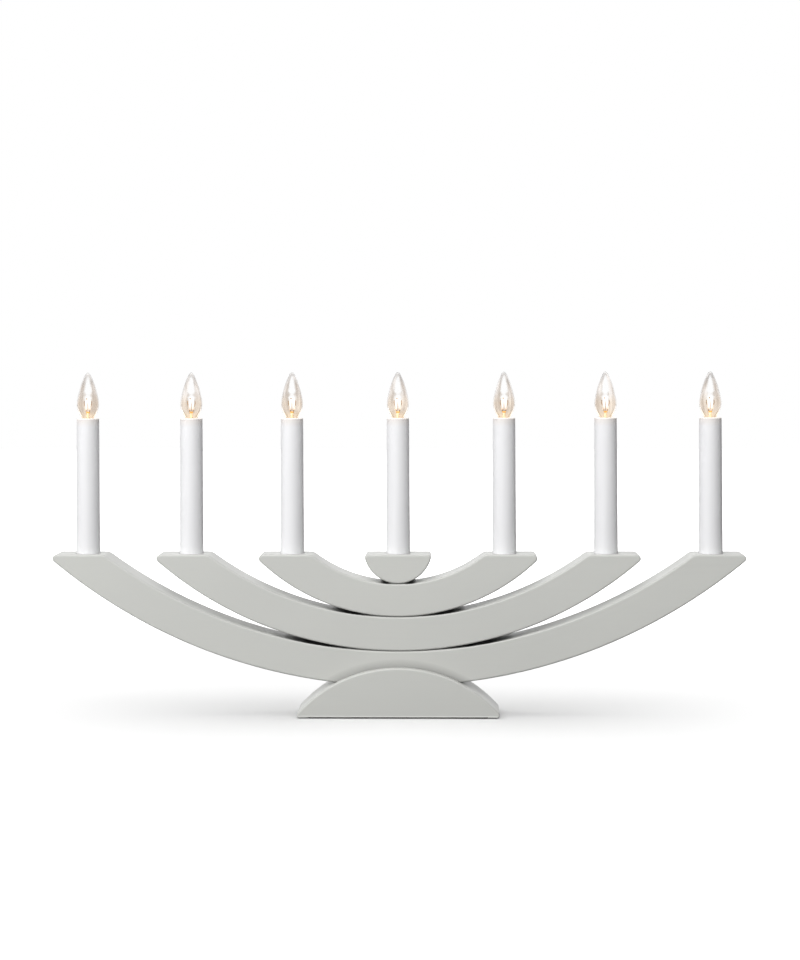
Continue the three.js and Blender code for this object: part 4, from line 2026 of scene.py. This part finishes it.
@dataclass
class Studio:
    """Pale floor, soft light from the upper left, white surroundings and the camera."""

    lamps: tuple[Lamp, ...] = (
        Lamp("left", (-1500, -700, 300), (900, 600), 9.0),
        Lamp("overhead", (-350, 0, 1500), (1500, 1000), 6.1, tint=(1.0, 0.975, 1.03)),
        Lamp("high_front", (0, -900, 1400), (1600, 600), 15.2),
        Lamp("front", (-400, -1800, 900), (1200, 800), 19.7),
        Lamp("back", (150, 1250, 450), (1600, 500), 6.0),
        Lamp("ground", (0, 1, 1200), (5000, 5000), 96.5, Target.FLOOR),
        Lamp("ground_front", (0, -250, 1200), (2400, 1200), 2.4, Target.FLOOR),
    )
    aim: Triple = (0, 0, 110)
    floor_half: float = 4000.0
    floor_drop: float = 0.2
    floor_pale: float = 0.15
    floor_white: float = 0.98
    far_white: float = 1.0
    mirrored_white: float = 0.45
    fade: Pair = (300.0, 800.0)
    distance: float = 1450.0
    offset: float = -0.7
    eye_level: float = 262.2
    yaw: float = 1.46
    roll: float = -0.145
    sensor: float = 36.0
    lens: float = 74.69
    shift: Pair = (0.00334, -0.1318)

    @staticmethod
    def seen(draft: NodeDraft) -> Socket:
        """Tells rays from the eye, straight or by way of a mirror or glass, from others.

        Args:
            draft: the tree.

        Returns:
            1 for those rays and 0 for others.
        """
        rays = draft.add("ShaderNodeLightPath").outputs
        mirrored = draft.sum("MAXIMUM", rays["Is Camera Ray"], rays["Is Glossy Ray"])
        return draft.sum("MAXIMUM", mirrored, rays["Is Transmission Ray"])

    def floor_material(self) -> bpy.types.Material:
        """Pale for the light it throws back, and white to the eye away from the shadow.

        Returns:
            The floor's material.
        """
        material = bpy.data.materials.new("studio_floor")
        material.use_nodes = True
        draft = NodeDraft(material.node_tree)
        draft.tree.nodes.clear()
        seen = self.seen(draft)
        tone = draft.spread(seen, self.floor_pale, self.floor_white, WHOLE, smooth=True)
        away = draft.along("LENGTH", draft.add("ShaderNodeTexCoord").outputs["Object"])
        paler = draft.spread(away, *WHOLE, scaled(self.fade, MM), smooth=True)
        straight = draft.add("ShaderNodeLightPath").outputs["Is Camera Ray"]
        white = draft.spread(straight, self.mirrored_white, self.far_white, WHOLE, smooth=True)
        white = draft.sum("MULTIPLY", draft.sum("MULTIPLY", white, seen), paler)
        both = draft.add("ShaderNodeAddShader")
        draft.feed(both.inputs[0], draft.add("ShaderNodeBsdfDiffuse", Color=tone).outputs[0])
        draft.feed(both.inputs[1], draft.add("ShaderNodeEmission", Strength=white).outputs[0])
        draft.add("ShaderNodeOutputMaterial", Surface=both.outputs[0])
        return material

    def floor(self) -> Piece:
        """The floor, as part of the stage.

        Returns:
            The floor.
        """
        mesh = bmesh.new()
        size, level = self.floor_half * MM, -self.floor_drop * MM
        mesh.faces.new([mesh.verts.new((x * size, y * size, level)) for x, y in SQUARE])
        floor = object_of("floor", mesh)
        floor.data.materials.append(self.floor_material())
        return floor

    def surroundings(self) -> None:
        """White to the eye, and no light on the object."""
        world = bpy.data.worlds.new("studio")
        bpy.context.scene.world = world
        world.use_nodes = True
        draft = NodeDraft(world.node_tree)
        draft.tree.nodes.clear()
        white = draft.add("ShaderNodeBackground", Color=(1, 1, 1, 1), Strength=self.seen(draft))
        draft.add("ShaderNodeOutputWorld", Surface=white.outputs[0])

    def softbox(self, lamp: Lamp, floor: Piece, clear: list[Piece]) -> None:
        """Hangs up a lamp.

        Args:
            lamp: the lamp, which lights the floor alone, or all but the floor and clear pieces.
            floor: the floor.
            clear: pieces that show the surroundings and not the lamps.
        """
        light = bpy.data.lights.new(lamp.name, "AREA")
        light.shape = "RECTANGLE"
        light.size, light.size_y = scaled(lamp.size, MM)
        light.energy = lamp.power
        light.color = lamp.tint
        box = bpy.data.objects.new(lamp.name, light)
        place = Vector(lamp.place)
        box.location = place * MM
        box.rotation_euler = (Vector(self.aim) - place).to_track_quat("-Z", "Y").to_euler()
        box.visible_glossy = False
        bpy.context.scene.collection.objects.link(box)
        lit = bpy.data.collections.new(lamp.name + "_light")
        for thing in [floor] if lamp.target is Target.FLOOR else [floor, *clear]:
            lit.objects.link(thing)
        for entry in lit.collection_objects:
            entry.light_linking.link_state = lamp.target.value
        box.light_linking.receiver_collection = lit

    def camera(self) -> None:
        """The camera at the photograph's viewing angle."""
        lens = bpy.data.cameras.new("camera")
        lens.sensor_width = self.sensor
        lens.lens = self.lens
        lens.shift_x, lens.shift_y = self.shift
        eye = bpy.data.objects.new("camera", lens)
        turn = Matrix.Rotation(math.radians(self.yaw), 4, "Z")
        eye.location = turn @ (Vector((self.offset, -self.distance, self.eye_level)) * MM)
        level = Matrix.Rotation(UP, 4, "X")
        lean = Matrix.Rotation(math.radians(self.roll), 4, "Z")
        eye.rotation_euler = (turn @ level @ lean).to_euler()
        bpy.context.scene.collection.objects.link(eye)
        bpy.context.scene.camera = eye

    def build(self, clear: list[Piece]) -> None:
        """Sets the studio up round the object.

        Args:
            clear: the object's clear pieces.
        """
        floor = self.floor()
        self.surroundings()
        for lamp in self.lamps:
            self.softbox(lamp, floor, clear)
        self.camera()
        bpy.context.scene.view_settings.view_transform = "Standard"


def main() -> None:
    """Builds the sub-assemblies in order and reports each piece."""
    logging.basicConfig(level=logging.INFO, format="%(message)s")
    WoodenStand().build()
    Underside().build()
    row = CandleRow()
    Sleeves().build(row)
    clear = Bulbs().build(row)
    Studio().build(clear)


if __name__ == "__main__":
    main()
